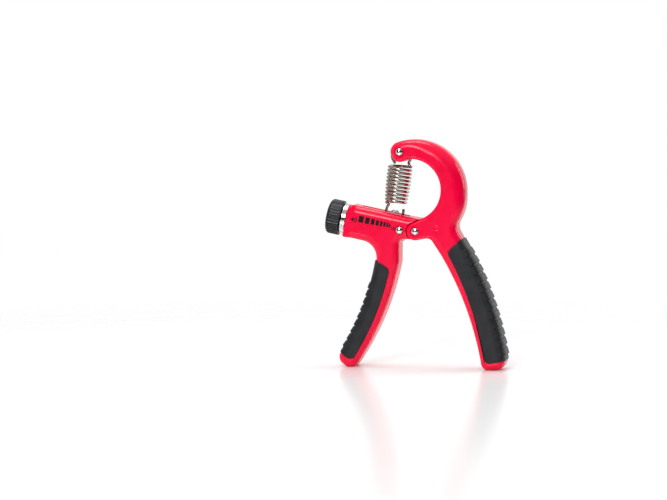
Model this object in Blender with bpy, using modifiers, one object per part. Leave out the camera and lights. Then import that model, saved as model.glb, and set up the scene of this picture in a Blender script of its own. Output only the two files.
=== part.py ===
"""Hand gripper with an adjustable extension spring.

The gripper stands upright on the ends of its two handles. X runs to the right, Y away from the
viewer and Z up, with the origin on the ground under the middle. Sizes are in millimetres and
degrees, and they are turned into metres where a mesh is made.

The fixed side is a barrel and the left handle in one piece. The lever is a hook and the right
handle in one piece, and it turns on the pivot rivet. The spring hangs on the hook's tip and pulls
on a nut in the barrel. The knob's screw moves that nut along the barrel, which changes how hard
the handles are to close.
"""
import math

import bmesh
import bpy
import numpy as np
from mathutils import Matrix, Vector

MM = 0.001
FIT_GAP = 0.3
OVERRUN = 2.0

# Body
BODY_THICKNESS = 22.0
EDGE_RADIUS = 5.0
LOBE_EDGE_RADIUS = 1.6
EDGE_STEPS = 3
FOOT_ROUND = 5.4

# Pivot and barrel
PIVOT = Vector((0.65, 88.5))
BARREL_TILT = 11.5
BARREL_TO_PIVOT = 46.2
PIVOT_ABOVE_AXIS = 2.6
BARREL_HEIGHT = 21.5
BORE_RADIUS = 6.2
SLOT_WIDTH = 6.8
SLOT_BEFORE_NUT = 2.6
SLOT_AFTER_NUT = 7.9
END_TOP_ROUND = 3.5
END_LOW_ROUND = 1.5
END_EDGE_RADIUS = 1.2
END_BLEND = 4.5

# Joint between tongue and fork
TONGUE_THICKNESS = 8.0
TONGUE_DROP = 5.4
LOBE_RADIUS = 5.8
PIVOT_WASHER_THICKNESS = 0.6
PIVOT_WASHER_RADIUS = 4.4
PIVOT_BUSH_RADIUS = 2.8
CHEEK_BEFORE_PIVOT = 4.1

# Rivets
RIVET_RADIUS = 1.3
RIVET_HEAD_RADIUS = 2.3
RIVET_HEAD_HEIGHT = 1.5
RIVET_HEAD_RIM = 0.45
RECESS_RADIUS = 3.0
RECESS_DEPTH = 1.0
BUSH_RIVET_BEFORE_PIVOT = 10.1
BUSH_RIVET_BELOW_TOP = 9.55

LOBE_BLEND = 12.0
LOBE_LOW_ANGLE = -72.0
LOBE_HIGH_ANGLE = -247.0

# Hook
HOOK_CENTRE = Vector((-0.85, 114.0))
HOOK_RADIUS = 33.4
HOOK_DROP = 2.0
HOOK_ARM = 13.6
TIP_ANGLE = 109.1
TIP_RADIUS = 6.5
BAY_LEFT = 2.0
BAY_RISE = 1.1
BAY_START_ANGLE = -68.0
BAY_EDGE_RADIUS = 2.0
BAY_EDGE_BLEND = 4.0
NECK_BEFORE = 4.0
NECK_ROUND = 7.0
CROTCH_SHARE = -0.17
CROTCH_ROUND = 4.0
CROTCH_DROP = 4.3
TIP_SLOT_WIDTH = 5.2
TIP_SLOT_RADIUS = 8.3
TIP_SLOT_DROP = 3.0
DIMPLE_RIGHT = 14.2
DIMPLE_RISE = 2.3
DIMPLE_RADIUS = 1.4
DIMPLE_DEPTH = 0.4

# Handles
LEFT_TOP = Vector((-17.65, 70.0))
LEFT_FOOT = Vector((-46.25, 1.1))
LEFT_BOW = 4.1
LEFT_TOP_WIDTH = 15.0
LEFT_FOOT_WIDTH = 13.0
LEFT_INNER_TOP = 83.1
LEFT_INNER_ROUND = 3.0
ARMPIT_ROUND = 11.0
RIGHT_TOP = Vector((24.75, 76.8))
RIGHT_FOOT = Vector((51.75, -0.1))
RIGHT_BOW = 3.9
RIGHT_TOP_WIDTH = 17.0
RIGHT_FOOT_WIDTH = 15.8

# Grips
GRIP_SINK = 1.8
CORE_START = -0.15
CORE_END = 1.0
SKIN_START = -0.2
SKIN_END = 1.05
GRIP_PROUD = 0.7
RIB_HEIGHT = 0.9
RIB_FRONT_HEIGHT = 0.4
RIB_SHARE = 0.74
RIB_WRAP = 3.4
GRIP_CORNER_ROUND = 4.0
LEFT_GRIP_TOP_OUTER = -1.2
LEFT_GRIP_TOP_INNER = 4.7
LEFT_GRIP_END = 5.2
LEFT_STRIP_TOP = 4.2
LEFT_STRIP_END = 3.2
LEFT_RIB_START = 17.1
LEFT_RIB_PITCH = 5.4
LEFT_RIBS = 9
RIGHT_GRIP_TOP_OUTER = -5.0
RIGHT_GRIP_TOP_INNER = -0.8
RIGHT_GRIP_END = 4.5
RIGHT_STRIP_TOP = 4.6
RIGHT_STRIP_END = 2.6
RIGHT_RIB_START = 3.4
RIGHT_RIB_PITCH = 5.94
RIGHT_RIBS = 12

# Knob, collar and screw
KNOB_RADIUS = 11.3
KNOB_LENGTH = 9.2
KNOB_ROUND = 3.0
KNOB_CHAMFER = 0.6
KNOB_MARGIN = 0.1
KNOB_DISH_RADIUS = 7.45
KNOB_DISH_FLOOR_RADIUS = 6.2
KNOB_DISH_DEPTH = 1.0
KNOB_DISH_RIM_DEPTH = 0.8
KNOB_FLUTES = 36
KNOB_FLUTE_DEPTH = 0.45
COLLAR_RADIUS = 10.2
COLLAR_LENGTH = 3.3
COLLAR_FRONT_CHAMFER = 0.8
COLLAR_REAR_CHAMFER = 0.4
SPIGOT_LENGTH = 2.5
SCREW_RADIUS = 3.0
SCREW_PITCH = 1.5
THREAD_DEPTH = 0.5
THREAD_LEAD = 1.2
TANG_RADIUS = 2.4
TANG_LENGTH = 4.6
JOURNAL_RADIUS = 1.7
JOURNAL_LENGTH = 0.8
THRUST_WASHER_RADIUS = 5.4
THRUST_WASHER_THICKNESS = 0.8
RING_THICKNESS = 0.9
RING_RADIUS = 4.6
RING_MOUTH_WIDTH = 3.7
GROOVE_RADIUS = 2.2
BUSH_LENGTH = 5.6

# Nut
NUT_LENGTH = 6.6
NUT_TRAVEL = 16.0
NUT_TO_BUSH = 0.9
NUT_PIN_ABOVE_TOP = 0.15
NUT_PIN_RADIUS = 1.2
EAR_LENGTH = 5.0
EAR_TOP_MARGIN = 1.5
LOOP_GROOVE = 2.6
LOOP_GROOVE_BELOW_PIN = 5.7

# Spring
WIRE_RADIUS = 0.9
COIL_TURNS = 10.5
COIL_TOP_RADIUS = 7.0
COIL_BOTTOM_RADIUS = 6.2
COIL_SWELL = 0.7
UPPER_LOOP_RADIUS = 6.35
LOWER_LOOP_RADIUS = 5.6
UPPER_LOOP_TO_COIL = 6.6
LOWER_LOOP_TO_COIL = 4.7
LOWER_LOOP_LIFT = 1.25
UPPER_LOOP_START = 212.0
UPPER_LOOP_END = -33.0
LOWER_LOOP_START = 146.0
LOWER_LOOP_END = 378.0
LOOP_SLOPE = 4.0
COIL_LEAD = 5.9
SLEEVE_RADIUS = 2.5
POINTS_PER_TURN = 9
LOOP_STEPS = 14

HALF = BODY_THICKNESS / 2
TILT = math.radians(BARREL_TILT)
ALONG = Vector((math.cos(TILT), -math.sin(TILT)))
ABOVE = Vector((math.sin(TILT), math.cos(TILT)))
BARREL_START = PIVOT - BARREL_TO_PIVOT * ALONG - PIVOT_ABOVE_AXIS * ABOVE
TIP = HOOK_CENTRE + (HOOK_RADIUS - TIP_RADIUS) * Vector(
    (math.cos(math.radians(TIP_ANGLE)), math.sin(math.radians(TIP_ANGLE))))
BAY_CENTRE = HOOK_CENTRE + Vector((-BAY_LEFT, BAY_RISE))
BAY_RADIUS = HOOK_RADIUS - HOOK_ARM
CROTCH_HEIGHT = PIVOT.y - CROTCH_DROP
BUSH_RIVET_ALONG = BARREL_TO_PIVOT - BUSH_RIVET_BEFORE_PIVOT
BUSH_RIVET_ABOVE_AXIS = BARREL_HEIGHT / 2 - BUSH_RIVET_BELOW_TOP
NUT_PIN_ALONG = BUSH_RIVET_ALONG - (BUSH_LENGTH + NUT_LENGTH) / 2 - NUT_TO_BUSH
NUT_PIN_HEIGHT = BARREL_HEIGHT / 2 + NUT_PIN_ABOVE_TOP
SLOT_START = NUT_PIN_ALONG - NUT_TRAVEL - EAR_LENGTH / 2 - SLOT_BEFORE_NUT
SLOT_END = NUT_PIN_ALONG + EAR_LENGTH / 2 + SLOT_AFTER_NUT
HEAD_SEAT = HALF - RECESS_DEPTH + FIT_GAP
FORK_HALF = TONGUE_THICKNESS / 2 + PIVOT_WASHER_THICKNESS + 2 * FIT_GAP
TONGUE_RADIUS = BARREL_HEIGHT / 2 - PIVOT_ABOVE_AXIS


def barrel_point(along, above):
    """The point of the X-Z plane that lies so far along the barrel and above its axis."""
    return BARREL_START + along * ALONG + above * ABOVE


NUT_PIN = barrel_point(NUT_PIN_ALONG, NUT_PIN_HEIGHT)


def start_scene():
    """Empty the scene and make the two collections."""
    for item in list(bpy.data.objects):
        bpy.data.objects.remove(item, do_unlink=True)
    groups = {}
    for name in ("hand_gripper", "cutters"):
        groups[name] = bpy.data.collections.new(name)
        bpy.context.scene.collection.children.link(groups[name])
    return groups


def material(name, colour, roughness, metallic=0.0):
    """A plain Principled material."""
    made = bpy.data.materials.new(name)
    made.use_nodes = True
    shader = made.node_tree.nodes["Principled BSDF"]
    shader.inputs["Base Color"].default_value = (*colour, 1.0)
    shader.inputs["Roughness"].default_value = roughness
    shader.inputs["Metallic"].default_value = metallic
    return made


def new_object(name, mesh):
    """A mesh object in the cutters' collection, where it stays unless it is finished as a part."""
    made = bpy.data.objects.new(name, mesh)
    GROUPS["cutters"].objects.link(made)
    made.hide_render = True
    made.display_type = "WIRE"
    return made


def finish(made, name, finish_material, carrier):
    """Make an object one of the gripper's parts, carried by the empty of its body."""
    GROUPS["cutters"].objects.unlink(made)
    GROUPS["hand_gripper"].objects.link(made)
    made.name = name
    made.hide_render = False
    made.display_type = "TEXTURED"
    made.data.materials.clear()
    made.data.materials.append(finish_material)
    made.parent = carrier
    made.matrix_parent_inverse = carrier.matrix_world.inverted()
    return made


def joint_empty(name, point):
    """An empty on a joint's axis, or on the body's reference point."""
    made = bpy.data.objects.new(name, None)
    made.location = Vector((point.x, 0, point.y)) * MM
    GROUPS["hand_gripper"].objects.link(made)
    bpy.context.view_layer.update()
    return made


def combine(target, other, operation="DIFFERENCE"):
    """Add a Boolean modifier to the target."""
    boolean = target.modifiers.new(operation.title(), "BOOLEAN")
    boolean.object = other
    boolean.operation = operation
    boolean.solver = "EXACT"
    return target


def arc(centre, radius, start, end, steps):
    """Points of a round stretch between two angles in degrees, both ends included."""
    angles = np.radians(np.linspace(start, end, steps + 1))
    return [centre + radius * Vector((math.cos(a), math.sin(a))) for a in angles]


def rounded(before, corner, after, radius, steps=4):
    """Points of the round that replaces the corner between two neighbouring points."""
    back = (before - corner).normalized()
    forth = (after - corner).normalized()
    half_angle = back.angle(forth) / 2
    centre = corner + (back + forth).normalized() * radius / math.sin(half_angle)
    first = corner + back * radius / math.tan(half_angle) - centre
    last = corner + forth * radius / math.tan(half_angle) - centre
    start = math.atan2(first.y, first.x)
    sweep = (math.atan2(last.y, last.x) - start + math.pi) % (2 * math.pi) - math.pi
    return arc(centre, radius, math.degrees(start), math.degrees(start + sweep), steps)


class Handle:
    """A handle's band in the X-Z plane: a bowed centre line and a width that tapers."""

    def __init__(self, top, foot, bow, top_width, foot_width, outer):
        self.top, self.foot, self.bow = top, foot, bow
        self.top_width, self.foot_width, self.outer = top_width, foot_width, outer

    def frame(self, share):
        """Centre point, downward direction and outward direction at a share of the length."""
        chord = self.foot - self.top
        right = Vector((-chord.y, chord.x)).normalized()
        centre = self.top + chord * share + right * self.bow * 4 * share * (1 - share)
        down = (chord + right * self.bow * 4 * (1 - 2 * share)).normalized()
        outward = Vector((-down.y, down.x)) * self.outer
        return centre, down, outward

    def point(self, share, side, extra=0.0):
        """The point on the outer (side 1) or inner (side -1) edge, moved outward by extra."""
        centre, _, outward = self.frame(share)
        half = (self.top_width + (self.foot_width - self.top_width) * share) / 2
        return centre + outward * (side * half + extra)

    def edge(self, start, end, side, steps, extra=0.0):
        """Points along one edge between two shares of the length."""
        return [self.point(share, side, extra) for share in np.linspace(start, end, steps + 1)]

    def foot_round(self, first_side, radius=FOOT_ROUND):
        """The handle's rounded end, from the edge on the first side to the other edge."""
        first = self.point(1.0, first_side)
        last = self.point(1.0, -first_side)
        above_first = self.point(0.9, first_side)
        above_last = self.point(0.9, -first_side)
        return rounded(above_first, first, last, radius) + rounded(first, last, above_last, radius)

    def length(self):
        """The length of the handle's chord."""
        return (self.foot - self.top).length


LEFT = Handle(LEFT_TOP, LEFT_FOOT, LEFT_BOW, LEFT_TOP_WIDTH, LEFT_FOOT_WIDTH, -1)
RIGHT = Handle(RIGHT_TOP, RIGHT_FOOT, RIGHT_BOW, RIGHT_TOP_WIDTH, RIGHT_FOOT_WIDTH, 1)


def inward(outline):
    """For each point of a closed outline, the step that moves both its sides inward by one."""
    places = [tuple(point) for point in outline]
    ahead = np.roll(places, -1, axis=0) - places
    ahead /= np.linalg.norm(ahead, axis=1)[:, None]
    area = sum(a[0] * b[1] - a[1] * b[0] for a, b in zip(places, places[1:] + places[:1]))
    after = np.stack((-ahead[:, 1], ahead[:, 0]), axis=1) * math.copysign(1, area)
    before = np.roll(after, 1, axis=0)
    return (before + after) / (1 + (before * after).sum(axis=1))[:, None]


def moulding(name, outline, half_thickness, edge_radius):
    """A flat outline with rounded front and rear edges, whose radius changes along the outline.

    It is a loft through rings of the outline. Each ring is drawn inward by what a quarter round
    of the local edge radius gives at its depth. The function edge_radius gives that radius.
    """
    outline = [point for point, before in zip(outline, outline[-1:] + outline[:-1])
               if (point - before).length > 0.02]
    radii = np.array([edge_radius(point) for point in outline])
    places, move = np.array([tuple(point) for point in outline]), inward(outline)
    rings = []
    for angle in np.linspace(math.pi / 2, 0, EDGE_STEPS + 1):
        inset = places + move * (radii * (1 - math.cos(angle)))[:, None]
        rings.append((inset, half_thickness - radii * (1 - math.sin(angle))))
    front = [np.stack((ring[:, 0], -depth, ring[:, 1]), axis=1) for ring, depth in rings]
    rear = [np.stack((ring[:, 0], depth, ring[:, 1]), axis=1) for ring, depth in reversed(rings)]
    rows, count = front + rear, len(outline)
    faces = [tuple(range(count)), tuple(range((len(rows) - 1) * count, len(rows) * count))]
    for row in range(len(rows) - 1):
        for place in range(count):
            beside = (place + 1) % count
            faces.append((row * count + place, row * count + beside,
                          (row + 1) * count + beside, (row + 1) * count + place))
    mesh = bpy.data.meshes.new(name)
    mesh.from_pydata(np.concatenate(rows) * MM, [], faces)
    model = bmesh.new()
    model.from_mesh(mesh)
    bmesh.ops.recalc_face_normals(model, faces=model.faces)
    model.to_mesh(mesh)
    model.free()
    return new_object(name, mesh)


def prism(name, outline, half_thickness, edge_radius=0.0, steps=EDGE_STEPS):
    """A flat outline in the X-Z plane with a thickness along Y and rounded front and rear edges."""
    curve = bpy.data.curves.new(name, "CURVE")
    curve.dimensions = "2D"
    curve.fill_mode = "BOTH"
    curve.extrude = half_thickness * MM
    spline = curve.splines.new("POLY")
    spline.points.add(len(outline) - 1)
    for place, point in zip(spline.points, outline):
        place.co = (point.x * MM, point.y * MM, 0, 1)
    spline.use_cyclic_u = True
    drawn = bpy.data.objects.new(name + "_curve", curve)
    bpy.context.scene.collection.objects.link(drawn)
    drawn.matrix_world = Matrix.Rotation(math.pi / 2, 4, "X")
    graph = bpy.context.evaluated_depsgraph_get()
    mesh = bpy.data.meshes.new_from_object(drawn.evaluated_get(graph))
    mesh.transform(drawn.matrix_world)
    bpy.data.objects.remove(drawn, do_unlink=True)
    model = bmesh.new()
    model.from_mesh(mesh)
    bmesh.ops.remove_doubles(model, verts=model.verts, dist=0.00001)
    flat = [edge for edge in model.edges if len(edge.link_faces) == 2 and edge.calc_face_angle() < 0.001
            and abs(edge.verts[0].co.y - edge.verts[1].co.y) < 0.00001]
    bmesh.ops.dissolve_edges(model, edges=flat)
    bmesh.ops.recalc_face_normals(model, faces=model.faces)
    layer = model.edges.layers.float.new("bevel_weight_edge")
    for edge in model.edges:
        edge[layer] = float(abs(edge.verts[0].co.y - edge.verts[1].co.y) < 0.00001)
    model.to_mesh(mesh)
    model.free()
    made = new_object(name, mesh)
    if edge_radius:
        bevel = made.modifiers.new("Edges", "BEVEL")
        bevel.limit_method = "WEIGHT"
        bevel.width = edge_radius * MM
        bevel.segments = steps
        bevel.use_clamp_overlap = False
    return made


def turned(name, profile, centre, axis, steps=24, ring=False):
    """A solid turned about an axis from a profile of (radius, height) pairs, top to bottom."""
    mesh = bpy.data.meshes.new(name)
    points = [(radius * MM, 0, height * MM) for radius, height in profile]
    edges = [(number, number + 1) for number in range(len(points) - 1)]
    if ring:
        edges.append((len(points) - 1, 0))
    mesh.from_pydata(points, edges, [])
    made = new_object(name, mesh)
    screw = made.modifiers.new("Turn", "SCREW")
    screw.steps = steps
    screw.render_steps = steps
    screw.use_merge_vertices = True
    screw.merge_threshold = 0.00001
    made.matrix_world = Matrix.Translation(centre * MM) @ axis.to_track_quat("Z", "Y").to_matrix().to_4x4()
    bpy.context.view_layer.update()
    return made


def ring_profile(outer, inner, top, bottom):
    """The profile of a plain ring or sleeve."""
    return [(inner, top), (outer, top), (outer, bottom), (inner, bottom)]


def cylinder(name, radius, start, end, steps=24):
    """A plain cylinder between two points of space."""
    mesh = bpy.data.meshes.new(name)
    model = bmesh.new()
    axis = end - start
    turn = axis.to_track_quat("Z", "Y").to_matrix().to_4x4()
    bmesh.ops.create_cone(
        model, cap_ends=True, segments=steps, radius1=radius * MM, radius2=radius * MM,
        depth=axis.length * MM, matrix=Matrix.Translation((start + end) / 2 * MM) @ turn)
    model.to_mesh(mesh)
    model.free()
    return new_object(name, mesh)


def cross_hole(name, point, radius, reach=HALF + OVERRUN, steps=24):
    """A cylinder along Y through the whole thickness."""
    front, rear = in_space(point, -reach), in_space(point, reach)
    return cylinder(name, radius, front, rear, steps)


def block(name, corner, along, above, depth, direction=ALONG, upward=ABOVE):
    """A box in the X-Z plane: a corner, its reach along two directions, and its depth along Y."""
    mesh = bpy.data.meshes.new(name)
    model = bmesh.new()
    middle = corner + direction * along / 2 + upward * above / 2
    turn = Matrix(((direction.x, 0, upward.x), (0, 1, 0), (direction.y, 0, upward.y))).to_4x4()
    size = Matrix.Diagonal((along * MM, depth * MM, above * MM, 1))
    bmesh.ops.create_cube(
        model, size=1, matrix=Matrix.Translation(Vector((middle.x, 0, middle.y)) * MM) @ turn @ size)
    bmesh.ops.recalc_face_normals(model, faces=model.faces)
    model.to_mesh(mesh)
    model.free()
    return new_object(name, mesh)


def in_space(point, across=0.0):
    """A point of the X-Z plane as a point of space."""
    return Vector((point.x, across, point.y))


def drill_rivet(target, name, point):
    """Cut a rivet's hole and the round recesses of its two heads."""
    combine(target, cross_hole(name + "_hole", point, RIVET_RADIUS + FIT_GAP, steps=16))
    for side, word in ((-1, "front"), (1, "rear")):
        start = in_space(point, side * (HALF - RECESS_DEPTH))
        end = in_space(point, side * (HALF + OVERRUN))
        recess = cylinder(f"{name}_{word}_recess", RECESS_RADIUS, start, end, 20)
        combine(target, recess)


def rivet(name, point, finish_material, carrier):
    """A domed rivet across the body and the domed cap on its rear end."""
    rim = HEAD_SEAT + RIVET_HEAD_RIM
    dome = [(RIVET_HEAD_RADIUS * math.cos(a), rim + (RIVET_HEAD_HEIGHT - RIVET_HEAD_RIM) * math.sin(a))
            for a in np.linspace(math.pi / 2, 0, 5)]
    dome[0] = (0.0, dome[0][1])
    shank_end = -rim
    profile = dome + [(RIVET_HEAD_RADIUS, HEAD_SEAT), (RIVET_RADIUS, HEAD_SEAT), (RIVET_RADIUS, shank_end),
                      (0.0, shank_end)]
    made = turned(name, profile, in_space(point), Vector((0, -1, 0)), steps=16)
    finish(made, name, finish_material, carrier)
    socket = RIVET_RADIUS + FIT_GAP
    profile = dome + [(RIVET_HEAD_RADIUS, HEAD_SEAT), (socket, HEAD_SEAT), (socket, -shank_end + FIT_GAP),
                      (0.0, -shank_end + FIT_GAP)]
    cap = turned(name + "_cap", profile, in_space(point), Vector((0, 1, 0)), steps=16)
    finish(cap, name + "_cap", finish_material, carrier)


class Grip:
    """Where a grip and its ribs lie on a handle, in distances from the handle's top and end."""

    def __init__(self, handle, top_outer, top_inner, end, strip_top, strip_end, rib_start, rib_pitch, ribs):
        self.handle, self.rib_start, self.rib_pitch, self.ribs = handle, rib_start, rib_pitch, ribs
        self.top_outer, self.top_inner, self.end = top_outer, top_inner, handle.length() - end
        self.strip_top, self.strip_end = strip_top, strip_end

    def zone(self, name, shrink):
        """The space that the grip fills, bounded on the handle's faces by a strip of bare body."""
        handle, length = self.handle, self.handle.length()
        shares = np.linspace(self.top_inner + shrink, self.end - shrink, 9) / length
        strips = np.linspace(self.strip_top, self.strip_end, 9)
        inner = [handle.point(share, -1, strip + shrink) for share, strip in zip(shares, strips)]
        beyond = EDGE_RADIUS + GRIP_PROUD + RIB_HEIGHT
        outer_top = handle.point((self.top_outer + shrink) / length, 1, beyond)
        outer_end = handle.point((self.end - shrink) / length, 1, beyond)
        outline = [outer_end, outer_top]
        outline += rounded(outer_top, inner[0], inner[1], GRIP_CORNER_ROUND)
        outline += inner[1:-1]
        outline += rounded(inner[-2], inner[-1], outer_end, GRIP_CORNER_ROUND)
        return prism(name, outline, HALF + 2 * OVERRUN)

    def core(self, name, growth):
        """The thinner part of the handle that the grip is moulded over."""
        inset = GRIP_SINK - growth
        outline = self.handle.edge(CORE_START, CORE_END, 1, 12, -inset)
        outline += self.handle.edge(CORE_END, CORE_START, -1, 12, inset)
        return prism(name, outline, HALF - inset, EDGE_RADIUS - inset, steps=2)

    def layer(self, name, outer_height, front_height):
        """A body round the handle that stands proud of its outer side and of its faces."""
        outline = self.handle.edge(SKIN_START, SKIN_END, 1, 14, outer_height)
        outline += self.handle.edge(SKIN_END, SKIN_START, -1, 14)
        return prism(name, outline, HALF + front_height, EDGE_RADIUS + outer_height)

    def slabs(self, name):
        """One slab across the handle's outer side for each rib."""
        model = bmesh.new()
        depth, reach = BODY_THICKNESS + 4 * EDGE_RADIUS, 2 * EDGE_RADIUS
        for number in range(self.ribs):
            share = (self.rib_start + (number + RIB_SHARE / 2) * self.rib_pitch) / self.handle.length()
            _, down, outward = self.handle.frame(share)
            middle = self.handle.point(share, 1, reach / 2 - RIB_WRAP)
            turn = Matrix(((outward.x, 0, down.x), (0, 1, 0), (outward.y, 0, down.y))).to_4x4()
            size = Matrix.Diagonal((reach * MM, depth * MM, RIB_SHARE * self.rib_pitch * MM, 1))
            placed = Matrix.Translation(in_space(middle) * MM) @ turn @ size
            bmesh.ops.create_cube(model, size=1, matrix=placed)
        bmesh.ops.recalc_face_normals(model, faces=model.faces)
        mesh = bpy.data.meshes.new(name)
        model.to_mesh(mesh)
        model.free()
        return new_object(name, mesh)

    def recess(self, target, name):
        """Cut the recess that the grip sits in."""
        space = self.zone(name + "_grip_recess", 0.0)
        combine(space, self.core(name + "_core", 0.0))
        combine(target, space)

    def make(self, name, finish_material, carrier):
        """The rubber skin of the handle's outer side, with ribs across it."""
        skin = self.layer(name, GRIP_PROUD, GRIP_PROUD)
        raised = self.layer(name + "_ribs", GRIP_PROUD + RIB_HEIGHT, GRIP_PROUD + RIB_FRONT_HEIGHT)
        combine(raised, self.slabs(name + "_slabs"), "INTERSECT")
        combine(skin, raised, "UNION")
        combine(skin, self.zone(name + "_zone", FIT_GAP), "INTERSECT")
        combine(skin, self.core(name + "_core", FIT_GAP))
        return finish(skin, name, finish_material, carrier)


LEFT_GRIP = Grip(LEFT, LEFT_GRIP_TOP_OUTER, LEFT_GRIP_TOP_INNER, LEFT_GRIP_END, LEFT_STRIP_TOP,
                 LEFT_STRIP_END, LEFT_RIB_START, LEFT_RIB_PITCH, LEFT_RIBS)
RIGHT_GRIP = Grip(RIGHT, RIGHT_GRIP_TOP_OUTER, RIGHT_GRIP_TOP_INNER, RIGHT_GRIP_END, RIGHT_STRIP_TOP,
                  RIGHT_STRIP_END, RIGHT_RIB_START, RIGHT_RIB_PITCH, RIGHT_RIBS)


def blend(share):
    """A smooth step from 0 to 1 as the share goes from 0 to 1."""
    share = min(max(share, 0.0), 1.0)
    return share * share * (3 - 2 * share)


def barrel_edge_radius(point):
    """The fixed body's edge radius: small at the tongue, whose cheeks are cut away, and at the end."""
    if point.x > PIVOT.x - LOBE_RADIUS / 2:
        return LOBE_EDGE_RADIUS
    along = (point - BARREL_START).dot(ALONG)
    return END_EDGE_RADIUS + (EDGE_RADIUS - END_EDGE_RADIUS) * blend((along - END_EDGE_RADIUS) / END_BLEND)


def make_barrel_handle(finish_material, carrier):
    """The fixed body: barrel, tongue and left handle."""
    half_height = BARREL_HEIGHT / 2
    inner_top = Vector((LEFT.point(0.0, -1).x, LEFT_INNER_TOP))
    armpit_before = LEFT.point(0.05, 1)
    armpit_line = LEFT.point(0.0, 1) - armpit_before
    gap = barrel_point(0, -half_height) - armpit_before
    reach = (gap.x * ALONG.y - gap.y * ALONG.x) / (armpit_line.x * ALONG.y - armpit_line.y * ALONG.x)
    armpit = armpit_before + reach * armpit_line
    end_top, end_low = barrel_point(0, half_height), barrel_point(0, -half_height)
    blends = np.linspace(END_TOP_ROUND, END_EDGE_RADIUS + END_BLEND, 5).tolist()
    tongue_low = PIVOT + Vector((TONGUE_RADIUS, -TONGUE_DROP))
    outline = rounded(end_low, end_top, barrel_point(END_BLEND, half_height), END_TOP_ROUND)
    outline += [barrel_point(along, half_height) for along in blends[1:]]
    outline += [barrel_point(BARREL_TO_PIVOT - LOBE_RADIUS, half_height)]
    outline += arc(PIVOT, TONGUE_RADIUS, 90 - BARREL_TILT, 0, 8)[:-1]
    tongue_round = min(TONGUE_DROP, TONGUE_RADIUS)
    outline += rounded(PIVOT + Vector((TONGUE_RADIUS, 0)), tongue_low, inner_top, tongue_round)
    outline += [tongue_low - Vector((TONGUE_RADIUS + LOBE_RADIUS, 0))]
    outline += rounded(tongue_low, inner_top, LEFT.point(0.0, -1), LEFT_INNER_ROUND)
    outline += LEFT.edge(0.0, 0.9, -1, 10)
    outline += LEFT.foot_round(-1)
    outline += LEFT.edge(0.9, 0.1, 1, 9)
    under_arm = rounded(armpit_before, armpit, end_low, ARMPIT_ROUND, 8)
    outline += under_arm
    reach = (under_arm[-1] - BARREL_START).dot(ALONG)
    outline += [barrel_point(along, -half_height) for along in blends[-2::-1] if along < reach - 1]
    outline += rounded(barrel_point(END_BLEND, -half_height), end_low, end_top, END_LOW_ROUND)
    body = moulding("barrel_handle", outline, HALF, barrel_edge_radius)
    for side, word in ((-1, "front"), (1, "rear")):
        inside = side * TONGUE_THICKNESS / 2
        outside = side * (HALF + OVERRUN)
        space = cylinder(f"cheek_space_{word}", LOBE_RADIUS + FIT_GAP,
                         in_space(PIVOT, inside), in_space(PIVOT, outside), 36)
        combine(body, space)
        wing = prism(f"cheek_wing_{word}", cheek_outline(), abs(outside - inside) / 2)
        wing.location.y = (outside + inside) / 2 * MM
        combine(body, wing)
    bore_start = in_space(barrel_point(-OVERRUN, 0))
    bore_end = in_space(barrel_point(BUSH_RIVET_ALONG + BUSH_LENGTH / 2 + FIT_GAP, 0))
    combine(body, cylinder("bore", BORE_RADIUS, bore_start, bore_end, 32))
    slot_length = SLOT_END - SLOT_START
    combine(body, block("top_slot", barrel_point(SLOT_START, 0), slot_length, BARREL_HEIGHT, SLOT_WIDTH))
    drill_rivet(body, "bush_rivet", barrel_point(BUSH_RIVET_ALONG, BUSH_RIVET_ABOVE_AXIS))
    combine(body, cross_hole("pivot_bush_seat", PIVOT, PIVOT_BUSH_RADIUS + FIT_GAP))
    LEFT_GRIP.recess(body, "left")
    combine(body, ground_cut("left_ground", LEFT_FOOT, LEFT_FOOT_WIDTH))
    return finish(body, "barrel_handle", finish_material, carrier)


def cheek_outline():
    """The space beside the tongue that a cheek of the lever needs, up to the line of the lever's neck."""
    reach = TONGUE_RADIUS + LOBE_RADIUS
    neck_low = arc(PIVOT, LOBE_RADIUS, LOBE_HIGH_ANGLE, LOBE_HIGH_ANGLE, 1)[0]
    neck_high = arc(BAY_CENTRE, BAY_RADIUS, BAY_START_ANGLE, BAY_START_ANGLE, 1)[0]
    way = (neck_high - neck_low).normalized()
    clear = neck_low + FIT_GAP * Vector((-way.y, way.x))
    before = Vector((-CHEEK_BEFORE_PIVOT, 0))
    return [PIVOT + before - Vector((0, reach)), PIVOT + Vector((reach, -reach)),
            clear + reach * way, clear, PIVOT + before]


def ground_cut(name, foot, width):
    """A box under the ground plane, which makes a handle's end flat where it stands."""
    corner = Vector((foot.x - width, -width))
    depth = BODY_THICKNESS + 2 * OVERRUN
    return block(name, corner, 2 * width, width, depth, Vector((1, 0)), Vector((0, 1)))


def meeting(start, through, centre, radius):
    """Where the line from a point outside a circle through another point first meets the circle."""
    way = (through - start).normalized()
    back = start - centre
    half = back.dot(way)
    return start + way * (-half - math.sqrt(half ** 2 - back.length_squared + radius ** 2))


def swung_loop():
    """The centre of the spring's upper loop when the nut is at the far end of its travel."""
    hang = UPPER_LOOP_RADIUS - WIRE_RADIUS - SLEEVE_RADIUS - FIT_GAP
    far_pin = barrel_point(NUT_PIN_ALONG - NUT_TRAVEL, NUT_PIN_HEIGHT)
    return TIP + (far_pin - TIP).normalized() * hang


def lever_edge_radius(point):
    """The lever's edge radius: small around the pivot's lobe and the bay, and whole elsewhere."""
    from_lobe = blend(((point - PIVOT).length - LOBE_RADIUS) / LOBE_BLEND)
    from_bay = blend(((point - BAY_CENTRE).length - BAY_RADIUS) / BAY_EDGE_BLEND)
    beside_lobe = LOBE_EDGE_RADIUS + (EDGE_RADIUS - LOBE_EDGE_RADIUS) * from_lobe
    beside_bay = BAY_EDGE_RADIUS + (EDGE_RADIUS - BAY_EDGE_RADIUS) * from_bay
    return min(beside_lobe, beside_bay)


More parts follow.
